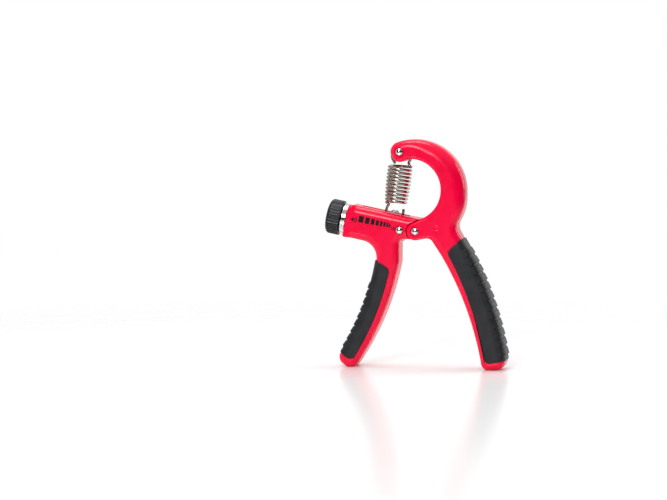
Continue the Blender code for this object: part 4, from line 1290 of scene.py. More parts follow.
@dataclass(frozen=True)
class PrintedScale:
    """The printed bars on the barrel's front, each lower and closer than the last, and two numbers.

    Bar k has its centre at first + the sum of spacing ratio^i over i below k.
    """

    bars: int = 8
    first: float = 10.4
    spacing: float = 4.2
    ratio: float = 0.85
    above: float = 2.9
    width_share: float = 0.78
    tall: float = 4.3
    drop: float = 0.27
    film: float = 0.03
    numbers: tuple[tuple[str, float, float, float], ...] = (("40", 5.7, 1.6, 4.2), ("10", 31.65, 1.3, 2.8))
    stroke: float = 0.08

    def place(self, points: Array) -> Array:
        """Points (along, above, height over the face) put on the barrel's front."""
        flat = LAYOUT.barrel(points[..., 0], points[..., 1])
        return in_space(flat, -LAYOUT.half - points[..., 2])

    def bar_object(self) -> Object:
        """All the bars as thin boxes in one mesh.

        Returns:
            The object.
        """
        gaps = self.spacing * self.ratio ** np.arange(self.bars)
        middle = self.first + np.concatenate(((0,), np.cumsum(gaps[:-1])))
        wide, tall = gaps * self.width_share / 2, (self.tall - self.drop * np.arange(self.bars)) / 2
        corners = np.array([(x, y, z) for x in (-1, 1) for y in (-1, 1) for z in (-1, 1)])
        points = np.stack((middle[:, None] + wide[:, None] * corners[:, 0],
                           self.above + tall[:, None] * corners[:, 1],
                           np.broadcast_to(self.film * corners[:, 2], (self.bars, 8))), axis=-1)
        sides = np.array(((0, 1, 3, 2), (4, 6, 7, 5), (0, 4, 5, 1), (2, 3, 7, 6), (0, 2, 6, 4), (1, 5, 7, 3)))
        faces = (sides + 8 * np.arange(self.bars)[:, None, None]).reshape(-1, 4).tolist()
        return new_object("scale_bars", self.place(points).reshape(-1, 3), faces)

    def number_object(self, words: str, along: float, above: float, size: float) -> Object:
        """A plain number as a thin mesh.

        Args:
            words: the number.
            along: how far along the barrel its middle lies.
            above: how far above the barrel's axis its middle lies.
            size: the height of its line of text.

        Returns:
            The object.
        """
        curve = bpy.data.curves.new("number_" + words, "FONT")
        curve.body, curve.size, curve.extrude = words, size, self.film
        curve.align_x, curve.align_y, curve.offset = "CENTER", "CENTER", self.stroke
        drawn = bpy.data.objects.new("drawn_number", curve)
        bpy.context.scene.collection.objects.link(drawn)
        mesh = bpy.data.meshes.new_from_object(drawn.evaluated_get(bpy.context.evaluated_depsgraph_get()))
        bpy.data.objects.remove(drawn, do_unlink=True)
        bpy.data.curves.remove(curve)
        points = np.empty(len(mesh.vertices) * 3)
        mesh.vertices.foreach_get("co", points)
        faces = [list(face.vertices) for face in mesh.polygons]
        bpy.data.meshes.remove(mesh)
        points = points.reshape(-1, 3) + (along, above, 0)
        return new_object("number_" + words, self.place(points), faces)

    def build(self, finishes: Finishes) -> None:
        """Make the bars and the numbers.

        Args:
            finishes: the finishes.
        """
        dress(self.bar_object(), finishes.ink, Body.FIXED)
        for number in self.numbers:
            dress(self.number_object(*number), finishes.ink, Body.FIXED)


@dataclass(frozen=True)
class Lever:
    """The hook and right handle in one moulding, forked at the pivot and at the tip."""

    hook_drop: float = 2.0
    neck_before: float = 4.0
    neck_round: float = 7.0
    crotch_share: float = -0.17
    crotch_round: float = 4.0
    crotch_drop: float = 4.3
    lobe_blend: float = 12.0
    hook_edge: float = 8.0
    hook_share: float = 0.85
    hook_edge_angles: Pair = (-30.0, 100.0)
    hook_edge_blend: float = 35.0
    lobe_low_angle: float = -72.0
    fork_half: float = 5.2
    fork_radius: float = 8.45
    tip_slot_width: float = 5.2
    tip_slot_radius: float = 8.3
    tip_slot_drop: float = 3.0
    dimple_place: Pair = (14.2, 2.3)
    dimple_radius: float = 2.0
    dimple_depth: float = 0.4

    def neck(self, low_centre: Array) -> Array:
        """Where the handle's outer line, carried on upward, meets the hook's lower circle.

        Args:
            low_centre: the circle's centre.

        Returns:
            The point.
        """
        start, through = RIGHT.point(UNDER_TOP, 1), RIGHT.point(0.0, 1)
        way, back = unit(through - start), start - low_centre
        half = back @ way
        return start + way * (-half - math.sqrt(half ** 2 - back @ back + LAYOUT.hook_radius ** 2))

    def bay_line(self) -> Array:
        """The bay's arc, from the lobe to where its circle meets the tip's.

        Returns:
            The points of the arc.
        """
        centre, radius = LAYOUT.bay()
        to_tip = LAYOUT.tip() - centre
        spread = float(np.linalg.norm(to_tip))
        share = (spread ** 2 + radius ** 2 - LAYOUT.tip_radius ** 2) / (2 * spread * radius)
        end = math.degrees(math.atan2(to_tip[1], to_tip[0])) - math.degrees(math.acos(share))
        return arc(centre, radius, LAYOUT.bay_start, end, 72)

    def outline(self) -> Array:
        """The moulding's outline: bay, tip, hook, neck, outer edge, foot, inner edge and lobe.

        Returns:
            The points of the outline.
        """
        hook, pivot, tip = np.array(LAYOUT.hook_centre), np.array(LAYOUT.pivot), LAYOUT.tip()
        bay = self.bay_line()
        tip_start = math.degrees(math.atan2(*(bay[-1] - tip)[::-1]))
        low_centre = hook - (0, self.hook_drop)
        neck = self.neck(low_centre)
        low_end = math.atan2(*(neck - low_centre)[::-1]) + self.neck_before / LAYOUT.hook_radius
        low = arc(low_centre, LAYOUT.hook_radius, 0, math.degrees(low_end), 16)
        crotch = np.array((RIGHT.point(self.crotch_share, -1)[0], pivot[1] - self.crotch_drop))
        return joined(
            bay[:-1], arc(tip, LAYOUT.tip_radius, tip_start, LAYOUT.tip_angle - 360, 40)[:-1],
            arc(hook, LAYOUT.hook_radius, LAYOUT.tip_angle, 0, 60), low[:-1],
            rounded(low[-1], neck, RIGHT.point(UNDER_TOP, 1), self.neck_round, 16),
            RIGHT.edge(0.0, FOOT_START, 1, 30), RIGHT.foot_outline(1, LAYOUT.foot_round),
            RIGHT.edge(FOOT_START, 0.0, -1, 30),
            rounded(RIGHT.point(0.0, -1), crotch, np.array((pivot[0], crotch[1] - 1)), self.crotch_round),
            arc(pivot, LAYOUT.lobe_radius, self.lobe_low_angle, LAYOUT.lobe_high_angle, 40))

    def edge_radii(self, outline: Array) -> Array:
        """The edge radius along the outline.

        It is small round the lobe and the bay, whole elsewhere, and larger on the hook's outer
        side, where it grows and shrinks again with the angle about the hook's centre.

        Args:
            outline: the moulding's outline.

        Returns:
            One radius for each point.
        """
        bay_centre, bay_radius = LAYOUT.bay()
        from_lobe = np.linalg.norm(outline - LAYOUT.pivot, axis=1) - LAYOUT.lobe_radius
        from_bay = np.linalg.norm(outline - bay_centre, axis=1) - bay_radius
        from_hook = outline - np.array(LAYOUT.hook_centre)
        angle = np.degrees(np.arctan2(from_hook[:, 1], from_hook[:, 0]))
        outside = np.linalg.norm(from_hook, axis=1) > self.hook_share * LAYOUT.hook_radius
        first, last = self.hook_edge_angles
        rise, fall = (angle - first) / self.hook_edge_blend, (last - angle) / self.hook_edge_blend
        on_hook = outside * (smoothstep(rise) * smoothstep(fall))
        edge = LAYOUT.edge + (self.hook_edge - LAYOUT.edge) * on_hook
        return np.minimum(
            LAYOUT.lobe_edge + (edge - LAYOUT.lobe_edge) * smoothstep(from_lobe / self.lobe_blend),
            LAYOUT.bay_edge + (edge - LAYOUT.bay_edge) * smoothstep(from_bay / LAYOUT.bay_blend))

    def dimple(self) -> Object:
        """The cutter of the round moulding mark right of the pivot.

        Returns:
            The cutter.
        """
        angles, above = np.linspace(0, math.pi / 2, 8), LAYOUT.half + PAST / 2
        dish = np.stack((self.dimple_radius * np.sin(angles),
                         LAYOUT.half - self.dimple_depth * np.cos(angles)), axis=1)
        dish = np.concatenate((dish, ((self.dimple_radius, above), (0, above))))
        return turned("dimple", dish, LAYOUT.cross_axis(np.array(LAYOUT.pivot) + self.dimple_place), 40)

    def cutters(self) -> list[Object]:
        """Everything that is cut out of the moulding.

        Returns:
            The cutters.
        """
        pivot, tip, half_slot = np.array(LAYOUT.pivot), LAYOUT.tip(), self.tip_slot_width / 2
        swung, room = Spring().swing_room()
        made = [rod(name, LAYOUT.cross_axis(centre), radius, -half, half) for name, centre, radius, half in (
            ("fork_space", pivot, self.fork_radius, self.fork_half),
            ("tip_slot", tip - (0, self.tip_slot_drop), self.tip_slot_radius, half_slot),
            ("swing_room", swung, room, half_slot))]
        made += RivetHoles().cutters(pivot) + RivetHoles().cutters(tip)
        made += [self.dimple(), RIGHT_GRIP.recess(), ground_block(RIGHT.foot[0])]
        return made

    def build(self, finishes: Finishes) -> None:
        """Make the moulding and its grip.

        Args:
            finishes: the finishes.
        """
        outline = self.outline()
        body = moulding("lever_moulding", outline, LAYOUT.half, self.edge_radii(outline))
        dress(carved(body, self.cutters()), finishes.red, Body.LEVER, ["lever_body"])
        RIGHT_GRIP.build(finishes)


@dataclass(frozen=True)
class EndBush:
    """The plug at the blind end of the bore, drilled for its rivet and for the screw's end."""

    bevel: float = 0.3

    def build(self, point: Array, finishes: Finishes) -> None:
        """Make the plug.

        Args:
            point: the centre of its rivet.
            finishes: the finishes.
        """
        half, bevel = LAYOUT.bush_length / 2, self.bevel
        start, end = LAYOUT.bush_along - half, LAYOUT.bush_along + half
        radius, pocket = LAYOUT.bore_radius - LAYOUT.fit_gap, LAYOUT.journal_radius + LAYOUT.fit_gap
        floor = start + LAYOUT.journal_length
        profile = [(0, -floor), (pocket, -floor), (pocket, -start), (radius - bevel, -start),
                   (radius, -start - bevel), (radius, -end + bevel), (radius - bevel, -end), (0, -end)]
        bush = turned("end_plug", np.array(profile, dtype=float), LAYOUT.barrel_axis(), 72)
        hole = rod("plug_hole", LAYOUT.cross_axis(point), LAYOUT.rivet_hole, -THROUGH, THROUGH, HOLE_STEPS)
        dress(carved(bush, [hole]), finishes.nylon, Body.FIXED, ["screw_end_bush"])


@dataclass(frozen=True)
class Rivet:
    """A domed rivet across the body, and the domed cap on its rear end."""

    name: str
    body: Body
    shank: float = 1.3
    head: float = 2.3
    height: float = 1.5
    seat: float = 10.3
    lip: float = 0.3

    def profile(self, below: Profile) -> Array:
        """The dome and the points below it.

        The dome has the radius head sin a at the share lip + (1 - lip) cos a of its height.

        Args:
            below: the points under the dome, from its rim to the axis.

        Returns:
            The pairs of radius and height.
        """
        angles = np.linspace(0, math.pi / 2, 14)
        rise = self.height * (self.lip + (1 - self.lip) * np.cos(angles))
        return np.concatenate((np.stack((self.head * np.sin(angles), self.seat + rise), axis=1), below))

    def build(self, point: Array, finishes: Finishes) -> None:
        """Make the rivet and its cap.

        Args:
            point: the rivet's centre in the X-Z plane.
            finishes: the finishes.
        """
        end, hollow = self.seat + self.height * self.lip, self.shank + LAYOUT.fit_gap
        roof = end + LAYOUT.fit_gap
        rim = (self.head, self.seat)
        shank = [rim, (self.shank, self.seat), (self.shank, -end), (0, -end)]
        pocket = [rim, (hollow, self.seat), (hollow, roof), (0, roof)]
        pieces = (("_head", Side.FRONT, shank, ""), ("_rear_head", Side.REAR, pocket, "_cap"))
        for word, side, below, node in pieces:
            piece = turned(self.name + word, self.profile(below), LAYOUT.cross_axis(point, side))
            dress(piece, finishes.chrome, self.body, [self.name + node])


@dataclass(frozen=True)
class PivotFittings:
    """The sleeve in the tongue and the washers on both sides of it."""

    washer_radius: float = 4.4
    washer: float = 0.6
    bush_edge: float = 0.25
    washer_edge: float = 0.15

    def build(self, finishes: Finishes) -> None:
        """Make the sleeve and both washers.

        Args:
            finishes: the finishes.
        """
        pivot, half, hole = np.array(LAYOUT.pivot), LAYOUT.tongue_half, LAYOUT.rivet_hole
        bush = sleeve("pivot_sleeve", LAYOUT.cross_axis(pivot), LAYOUT.pivot_bush_radius, hole,
                      -half, half, self.bush_edge)
        dress(bush, finishes.steel, Body.FIXED, ["pivot_bush"])
        near = half + LAYOUT.fit_gap
        for side in Side:
            word = side.name.lower()
            ring = sleeve(f"pivot_ring_{word}", LAYOUT.cross_axis(pivot, side), self.washer_radius, hole,
                          near, near + self.washer, self.washer_edge)
            dress(ring, finishes.nylon, Body.FIXED, ["pivot_washer_" + word])


@dataclass(frozen=True)
class EndCollar:
    """The bright flanged collar in the barrel's open end."""

    radius: float = 10.2
    groove_mouth: float = 0.25
    groove_floor: float = 0.1
    groove_depth: float = 0.35
    crease: float = 40.0

    def build(self, finishes: Finishes) -> None:
        """Make the collar from one softened profile.

        Args:
            finishes: the finishes.
        """
        inner, neck = LAYOUT.screw_radius + LAYOUT.fit_gap, LAYOUT.bore_radius - LAYOUT.fit_gap
        back, front = LAYOUT.fit_gap, LAYOUT.fit_gap + LAYOUT.collar_length
        middle, floor, spigot = (back + front) / 2, self.radius - self.groove_depth, LAYOUT.collar_spigot
        profile = [(inner, front), (self.radius, front), (self.radius, middle + self.groove_mouth),
                   (floor, middle + self.groove_floor), (floor, middle - self.groove_floor),
                   (self.radius, middle - self.groove_mouth), (self.radius, back), (neck, back),
                   (neck, -spigot), (inner, -spigot)]
        radii = (0.2, 0.7, 0.08, 0.0, 0.0, 0.08, 0.35, 0.1, 0.3, 0.2)
        collar = turned("collar_ring", softened(profile, radii), LAYOUT.barrel_axis(), 128, ring=True)
        dress(collar, finishes.chrome, Body.FIXED, ["end_collar"], self.crease)


@dataclass(frozen=True)
class Adjuster:
    """The fluted knob and the screw that it turns."""

    knob_radius: float = 11.3
    knob_length: float = 9.2
    knob_round: float = 3.0
    knob_over: float = 0.1
    knob_dish: tuple[Pair, ...] = ((0.0, 1.0), (0.50, 0.85), (0.60, 0.55), (0.66, 0.15), (0.69, 0.0))
    knob_back: tuple[Pair, ...] = ((0.0, 0.35), (0.25, 0.1), (0.6, 0.0))
    knob_back_start: float = 0.9
    knob_crease: float = 50.0
    flutes: int = 36
    flute_depth: float = 0.45
    tang_radius: float = 2.4
    tang_length: float = 4.6
    tang_bevel: float = 0.3
    pitch: float = 1.5
    thread_depth: float = 0.5
    thread_runout: float = 1.2
    thread_flank: float = 1.2
    thread_fade: float = 0.4
    tail_step: float = 0.4
    groove_radius: float = 2.2
    groove_bevel: float = 0.2
    ring_thickness: float = 0.9
    ring_radius: float = 4.6
    ring_edge: float = 0.12
    mouth_share: float = 0.85
    washer_radius: float = 5.4
    washer_thickness: float = 0.8
    washer_edge: float = 0.15

    def knob_object(self) -> Object:
        """The knob's turned profile, held inside R - depth (1 - cos(n a)) / 2 where the flutes run.

        Returns:
            The object.
        """
        rear = LAYOUT.knob_rear()
        outer, radius, gap = rear + self.knob_length, self.knob_radius, LAYOUT.fit_gap
        widest, shoulder = radius + self.knob_over, outer - self.knob_round
        turn = np.radians(np.linspace(90, 0, 14))
        dish = [(radius * share, outer - depth) for share, depth in self.knob_dish]
        rim = np.stack((widest - self.knob_round * (1 - np.cos(turn)),
                        outer - self.knob_round * (1 - np.sin(turn))), axis=1)
        side = [(widest, height) for height in np.linspace(shoulder, rear + self.knob_back_start, 6)[1:]]
        back = [(radius - inset, rear + height) for inset, height in self.knob_back]
        pocket, hole = self.washer_radius + gap, self.tang_radius + gap
        seat, floor = rear + gap + self.washer_thickness, rear + self.tang_length + gap
        inside = [(pocket, rear), (pocket, seat), (hole, seat), (hole, floor), (0.0, floor)]
        profile = np.concatenate((dish, rim, side, back, inside))
        angles = np.linspace(0, 2 * math.pi, self.flutes * 12, endpoint=False)
        fluted = radius - self.flute_depth * (0.5 - 0.5 * np.cos(angles * self.flutes))
        radii = np.minimum(profile[:, :1], fluted[None])
        points = LAYOUT.barrel_axis().point(radii, angles[None], profile[:, 1:])
        return grid_object("knob_body", points, capped=False)

    def screw_object(self) -> Object:
        """The screw: plain ends, and a thread whose depth follows height / pitch + angle / turn.

        Returns:
            The object.
        """
        rear, root, gap = LAYOUT.knob_rear(), LAYOUT.screw_radius, LAYOUT.fit_gap
        tang, groove, bevel = self.tang_radius, self.groove_radius, self.groove_bevel
        groove_top = -(LAYOUT.collar_spigot + gap)
        groove_low = groove_top - self.ring_thickness - 2 * gap
        top, low = groove_low - self.thread_runout, -(LAYOUT.bush_along - LAYOUT.bush_length / 2 - gap)
        head = rear + self.tang_length
        plain = [(0, head), (tang - self.tang_bevel, head), (tang, head - self.tang_bevel), (tang, rear),
                 (root, rear), (root, groove_top), (groove, groove_top), (groove, groove_low),
                 (root - bevel, groove_low), (root, groove_low - bevel)]
        heights = np.linspace(top, low, 12 * round((top - low) / self.pitch))
        thread = [(root, height) for height in heights]
        journal, end = LAYOUT.journal_radius, low - LAYOUT.journal_length
        tail = [(root - self.tail_step, low), (journal, low), (journal, end), (0, end)]
        profile = np.array([*plain, *thread, *tail])
        angles = np.linspace(0, 2 * math.pi, PIN_STEPS, endpoint=False)
        phase = (profile[:, 1:] / self.pitch + angles[None] / (2 * math.pi)) % 1.0
        cut = self.thread_depth * (1 - np.abs(2 * phase - 1)) * self.thread_flank
        fade = np.minimum((top - profile[:, 1:]) / self.pitch,
                          (profile[:, 1:] - low) / (self.thread_fade * self.pitch))
        threaded = np.zeros((len(profile), 1))
        threaded[len(plain):len(plain) + len(thread)] = 1
        radii = profile[:, :1] - np.clip(cut, 0, self.thread_depth) * np.clip(fade, 0, 1) * threaded
        points = LAYOUT.barrel_axis().point(radii, angles[None], profile[:, 1:])
        return grid_object("screw_body", points, capped=False)

    def ring_object(self) -> Object:
        """The retaining ring, open at its lower side.

        Returns:
            The object.
        """
        gap, mouth = LAYOUT.fit_gap, self.groove_radius * self.mouth_share
        top = -(LAYOUT.collar_spigot + 2 * gap)
        ring = sleeve("open_ring", LAYOUT.barrel_axis(), self.ring_radius, self.groove_radius + gap,
                      top - self.ring_thickness, top, self.ring_edge)
        corner = LAYOUT.barrel(-top - PAST / 2, -self.ring_radius - PAST / 2)
        size = (self.ring_thickness + PAST, self.ring_radius + PAST / 2)
        return carved(ring, [block("mouth", corner, size, -mouth, mouth, LAYOUT.along(), LAYOUT.above())])

    def build(self, finishes: Finishes) -> None:
        """Make the knob, the screw, the thrust washer and the retaining ring.

        Args:
            finishes: the finishes.
        """
        rear = LAYOUT.knob_rear()
        dress(self.knob_object(), finishes.dark, Body.ADJUSTER, ["knob"], self.knob_crease)
        dress(self.screw_object(), finishes.steel, Body.ADJUSTER, ["adjusting_screw"])
        washer = sleeve("thrust_ring", LAYOUT.barrel_axis(), self.washer_radius,
                        LAYOUT.screw_radius + LAYOUT.fit_gap, rear, rear + self.washer_thickness,
                        self.washer_edge)
        dress(washer, finishes.nylon, Body.ADJUSTER, ["thrust_washer"])
        dress(self.ring_object(), finishes.steel, Body.ADJUSTER, ["retaining_ring"])


@dataclass(frozen=True)
class Carriage:
    """The nut on the screw, with two ears that reach out of the slot and the pin across them."""

    length: float = 6.6
    ear_length: float = 5.0
    ear_base: float = 4.6
    ear_round: float = 1.6
    ear_edge: float = 0.35
    top_margin: float = 1.5
    pin_radius: float = 1.2
    pin_edge: float = 0.25
    loop_groove: float = 2.6
    groove_floor: float = 5.2
    chamfer: float = 0.5
    bore_edge: float = 0.3

    def nut_object(self) -> Object:
        """The nut: a drum, joined to a lug that is grooved for the spring's loop.

        Returns:
            The object.
        """
        middle, half, gap = LAYOUT.nut_pin_along, self.length / 2, LAYOUT.fit_gap
        inner, radius, axis = LAYOUT.screw_radius + gap, LAYOUT.bore_radius - gap, LAYOUT.barrel_axis()
        low, high = -middle - half, -middle + half
        drum = softened([(inner, low), (radius, low), (radius, high), (inner, high)],
                        (self.bore_edge, self.chamfer, self.chamfer, self.bore_edge), 3)
        nut = turned("nut_body", drum, axis, WIDE_STEPS, ring=True)
        base, top = self.ear_base, LAYOUT.nut_pin_height + self.top_margin
        ears = LAYOUT.barrel(np.array((-1, 1, 1, -1)) * self.ear_length / 2 + middle,
                             np.array((base, base, top, top)))
        lug = joined(ears[:2], rounded(ears[1], ears[2], ears[3], self.ear_round),
                     rounded(ears[2], ears[3], ears[0], self.ear_round))
        lug = moulding("lug", lug, self.half_width(), np.full(len(lug), self.ear_edge), 4)
        nut = carved(nut, [lug], "UNION")
        half_groove = self.loop_groove / 2
        groove = block("groove", LAYOUT.barrel(middle - self.length, self.groove_floor),
                       (2 * self.length, top), -half_groove, half_groove, LAYOUT.along(), LAYOUT.above())
        bore = rod("nut_bore", axis, inner, low - PAST / 2, high + PAST / 2, ROUND_STEPS)
        hole = rod("pin_hole", LAYOUT.cross_axis(LAYOUT.nut_pin()), self.pin_radius + gap,
                   -THROUGH, THROUGH, PIN_STEPS)
        return carved(nut, [groove, bore, hole])

    def half_width(self) -> float:
        """Half the width of the lug and of the pin, which fit the barrel's slot."""
        return LAYOUT.slot_width / 2 - LAYOUT.fit_gap

    def build(self, finishes: Finishes) -> None:
        """Make the nut with its ears, and the pin.

        Args:
            finishes: the finishes.
        """
        dress(self.nut_object(), finishes.steel, Body.CARRIAGE, ["carriage_nut"])
        width, radius = self.half_width(), self.pin_radius
        ends = soft_ends([(0, width), (radius, width), (radius, -width), (0, -width)], self.pin_edge)
        pin = turned("cross_pin", ends, LAYOUT.cross_axis(LAYOUT.nut_pin()), PIN_STEPS)
        dress(pin, finishes.steel, Body.CARRIAGE, ["nut_pin"])


@dataclass(frozen=True)
class Spring:
    """The extension spring: an upper loop, a coil swollen at its middle and a lower loop."""

    wire: float = 0.9
    turns: float = 10.5
    top_radius: float = 7.0
    bottom_radius: float = 6.2
    swell: float = 0.7
    upper_loop: float = 6.35
    lower_loop: float = 5.6
    upper_to_coil: float = 6.6
    lower_to_coil: float = 4.7
    lower_lift: float = 1.25
    upper_angles: Pair = (238.0, -33.0)
    lower_angles: Pair = (146.0, 378.0)
    slope: float = 4.0
    lead: float = 5.9
    sleeve_radius: float = 2.5
    sleeve_half: float = 2.3
    sleeve_edge: float = 0.3
    crease: float = 60.0
    points_per_turn: int = 40
    loop_points: int = 48
    bridge_points: int = 16
    sides: int = 16
    end_length: float = 0.3
    end_share: float = 0.72

    def frame(self) -> tuple[Array, Array, Array]:
        """The spring's own side, across and down directions."""
        way = unit(LAYOUT.nut_pin() - LAYOUT.tip())
        return in_space(np.array((-way[1], way[0]))), np.array((0.0, 1.0, 0.0)), in_space(way)

    def levels(self) -> tuple[float, float, float, float]:
        """Distances down from the tip's centre along the line to the nut's pin.

        Returns:
            The upper loop's centre, the coil's top and bottom, and the lower loop's centre.
        """
        upper = self.upper_loop - self.wire - self.sleeve_radius - LAYOUT.fit_gap
        lower = float(np.linalg.norm(LAYOUT.nut_pin() - LAYOUT.tip())) - self.lower_lift
        return upper, upper + self.upper_to_coil, lower - self.lower_to_coil, lower

    def swing_room(self) -> tuple[Array, float]:
        """The upper loop's room in the tip when the nut is at the far end of its travel.

        Returns:
            The room's centre and radius.
        """
        far_pin = LAYOUT.barrel(LAYOUT.nut_pin_along - LAYOUT.nut_travel, LAYOUT.nut_pin_height)
        return (LAYOUT.tip() + unit(far_pin - LAYOUT.tip()) * self.levels()[0],
                self.upper_loop + self.wire + LAYOUT.fit_gap)

    def loop(self, centre: float, radius: float, angles: Pair) -> tuple[Array, Array]:
        """A loop along a circle.

        Args:
            centre: its centre's distance down from the tip.
            radius: its radius.
            angles: its first and last angle in degrees.

        Returns:
            Its points and the directions away from its centre.
        """
        turn = np.radians(np.linspace(*angles, self.loop_points))
        away = np.stack((np.cos(turn), 0 * turn, -np.sin(turn)), axis=1)
        return (0, 0, centre) + radius * away, away

    def shares(self) -> Array:
        """The shares of a bridge between a loop and the coil, its ends left out."""
        return np.linspace(0, 1, self.bridge_points)[1:-1, None]

    def bridge(self, first: Array, first_slope: Array, last: Array, last_slope: Array) -> Array:
        """Points on the cubic curve between two ends, the ends left out.

        Args:
            first: the first end.
            first_slope: the slope there.
            last: the last end.
            last_slope: the slope there.

        Returns:
            The points.
        """
        share = self.shares()
        square, cube = share ** 2, share ** 3
        return ((2 * cube - 3 * square + 1) * first + (cube - 2 * square + share) * first_slope
                + (3 * square - 2 * cube) * last + (cube - square) * last_slope)

    def path(self) -> tuple[Array, Array]:
        """The wire's centre line in the spring's own frame.

        Along the coil the radius is top + (bottom - top) s + swell sqrt(sin(pi s)), at the
        angle 2 pi turns s and a height that grows evenly with s.

        Returns:
            Its points, and a direction for each that starts the wire's section.
        """
        upper, coil_top, coil_bottom, lower = self.levels()
        share = np.linspace(0, 1, round(self.turns * self.points_per_turn) + 1)
        turn = 2 * math.pi * self.turns * share
        radius = (self.top_radius + (self.bottom_radius - self.top_radius) * share
                  + self.swell * np.sqrt(np.abs(np.sin(math.pi * share))))
        away = np.stack((np.cos(turn), np.sin(turn), 0 * turn), axis=1)
        coil = away * radius[:, None] + (0, 0, 1) * (coil_top + (coil_bottom - coil_top) * share)[:, None]
        top, top_away = self.loop(upper, self.upper_loop, self.upper_angles)
        low, low_away = self.loop(lower, self.lower_loop, self.lower_angles)
        lead = self.lead
        rise = (coil_bottom - coil_top) / self.turns * lead / (2 * math.pi)
        into, out = (0, lead, rise / self.top_radius), (0, -lead, rise / self.bottom_radius)
        first = self.bridge(top[-1], unit(top[-1] - top[-2]) * self.slope, coil[0], np.array(into))
        last = self.bridge(coil[-1], np.array(out), low[0], unit(low[1] - low[0]) * self.slope)
        blend = self.shares()
        points = np.concatenate((top, first, coil, last, low))
        start = np.concatenate((top_away, top_away[-1] + blend * (away[0] - top_away[-1]), away,
                                away[-1] + blend * (low_away[0] - away[-1]), low_away))
        return points, start

    def tube(self) -> Object:
        """The wire: a circle carried square to the path, drawn in at both cut ends.

        Returns:
            The object.
        """
        points, start = self.path()
        length = np.concatenate(((0,), np.cumsum(np.linalg.norm(np.diff(points, axis=0), axis=1))))
        ends = np.array((0.2, 0.5, 1.0)) * self.end_length
        samples = np.sort(np.concatenate((length, ends, length[-1] - ends)))
        points, start = (np.stack([np.interp(samples, length, column) for column in rows.T], axis=1)
                         for rows in (points, start))
        way = unit(np.gradient(points, axis=0))
        first = unit(start - (start * way).sum(axis=1, keepdims=True) * way)
        second = np.cross(way, first)
        to_end = np.clip(np.minimum(samples, length[-1] - samples) / self.end_length, 0, 1)
        radius = self.wire * (self.end_share + (1 - self.end_share) * np.sqrt(1 - (1 - to_end) ** 2))
        angles = np.linspace(0, 2 * math.pi, self.sides, endpoint=False)
        around = np.cos(angles)[:, None] * first[:, None] + np.sin(angles)[:, None] * second[:, None]
        rings = points[:, None] + radius[:, None, None] * around
        side, across, down = self.frame()
        placed = in_space(LAYOUT.tip()) + rings @ np.stack((side, across, down))
        return grid_object("spring_tube", placed)

    def build(self, finishes: Finishes) -> None:
        """Make the wire and the sleeve that it hangs on.

        Args:
            finishes: the finishes.
        """
        spring = dress(self.tube(), finishes.wire, None, ["spring"], self.crease)
        _, coil_top, coil_bottom, _ = self.levels()
        tip, down = in_space(LAYOUT.tip()), self.frame()[2]
        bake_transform(spring)
        hanger = sleeve("hanging_sleeve", LAYOUT.cross_axis(LAYOUT.tip()), self.sleeve_radius,
                        LAYOUT.rivet_hole, -self.sleeve_half, self.sleeve_half, self.sleeve_edge)
        dress(hanger, finishes.steel, Body.SWING, ["tip_sleeve"])


@dataclass(frozen=True)
class Softbox:
    """A square lamp: its place, the point that it faces, its size and its power."""

    name: str
    place: Triple
    aim: Triple
    size: Pair
    power: float

    def build(self) -> None:
        """Make the lamp."""
        lamp = bpy.data.lights.new(self.name, "AREA")
        lamp.shape = "RECTANGLE"
        lamp.size, lamp.size_y = (side * MM for side in self.size)
        lamp.energy = self.power
        made = bpy.data.objects.new(self.name, lamp)
        place, aim = Vector(self.place) * MM, Vector(self.aim) * MM
        made.location = place
        made.rotation_euler = (aim - place).to_track_quat("-Z", "Y").to_euler()
        bpy.context.scene.collection.objects.link(made)


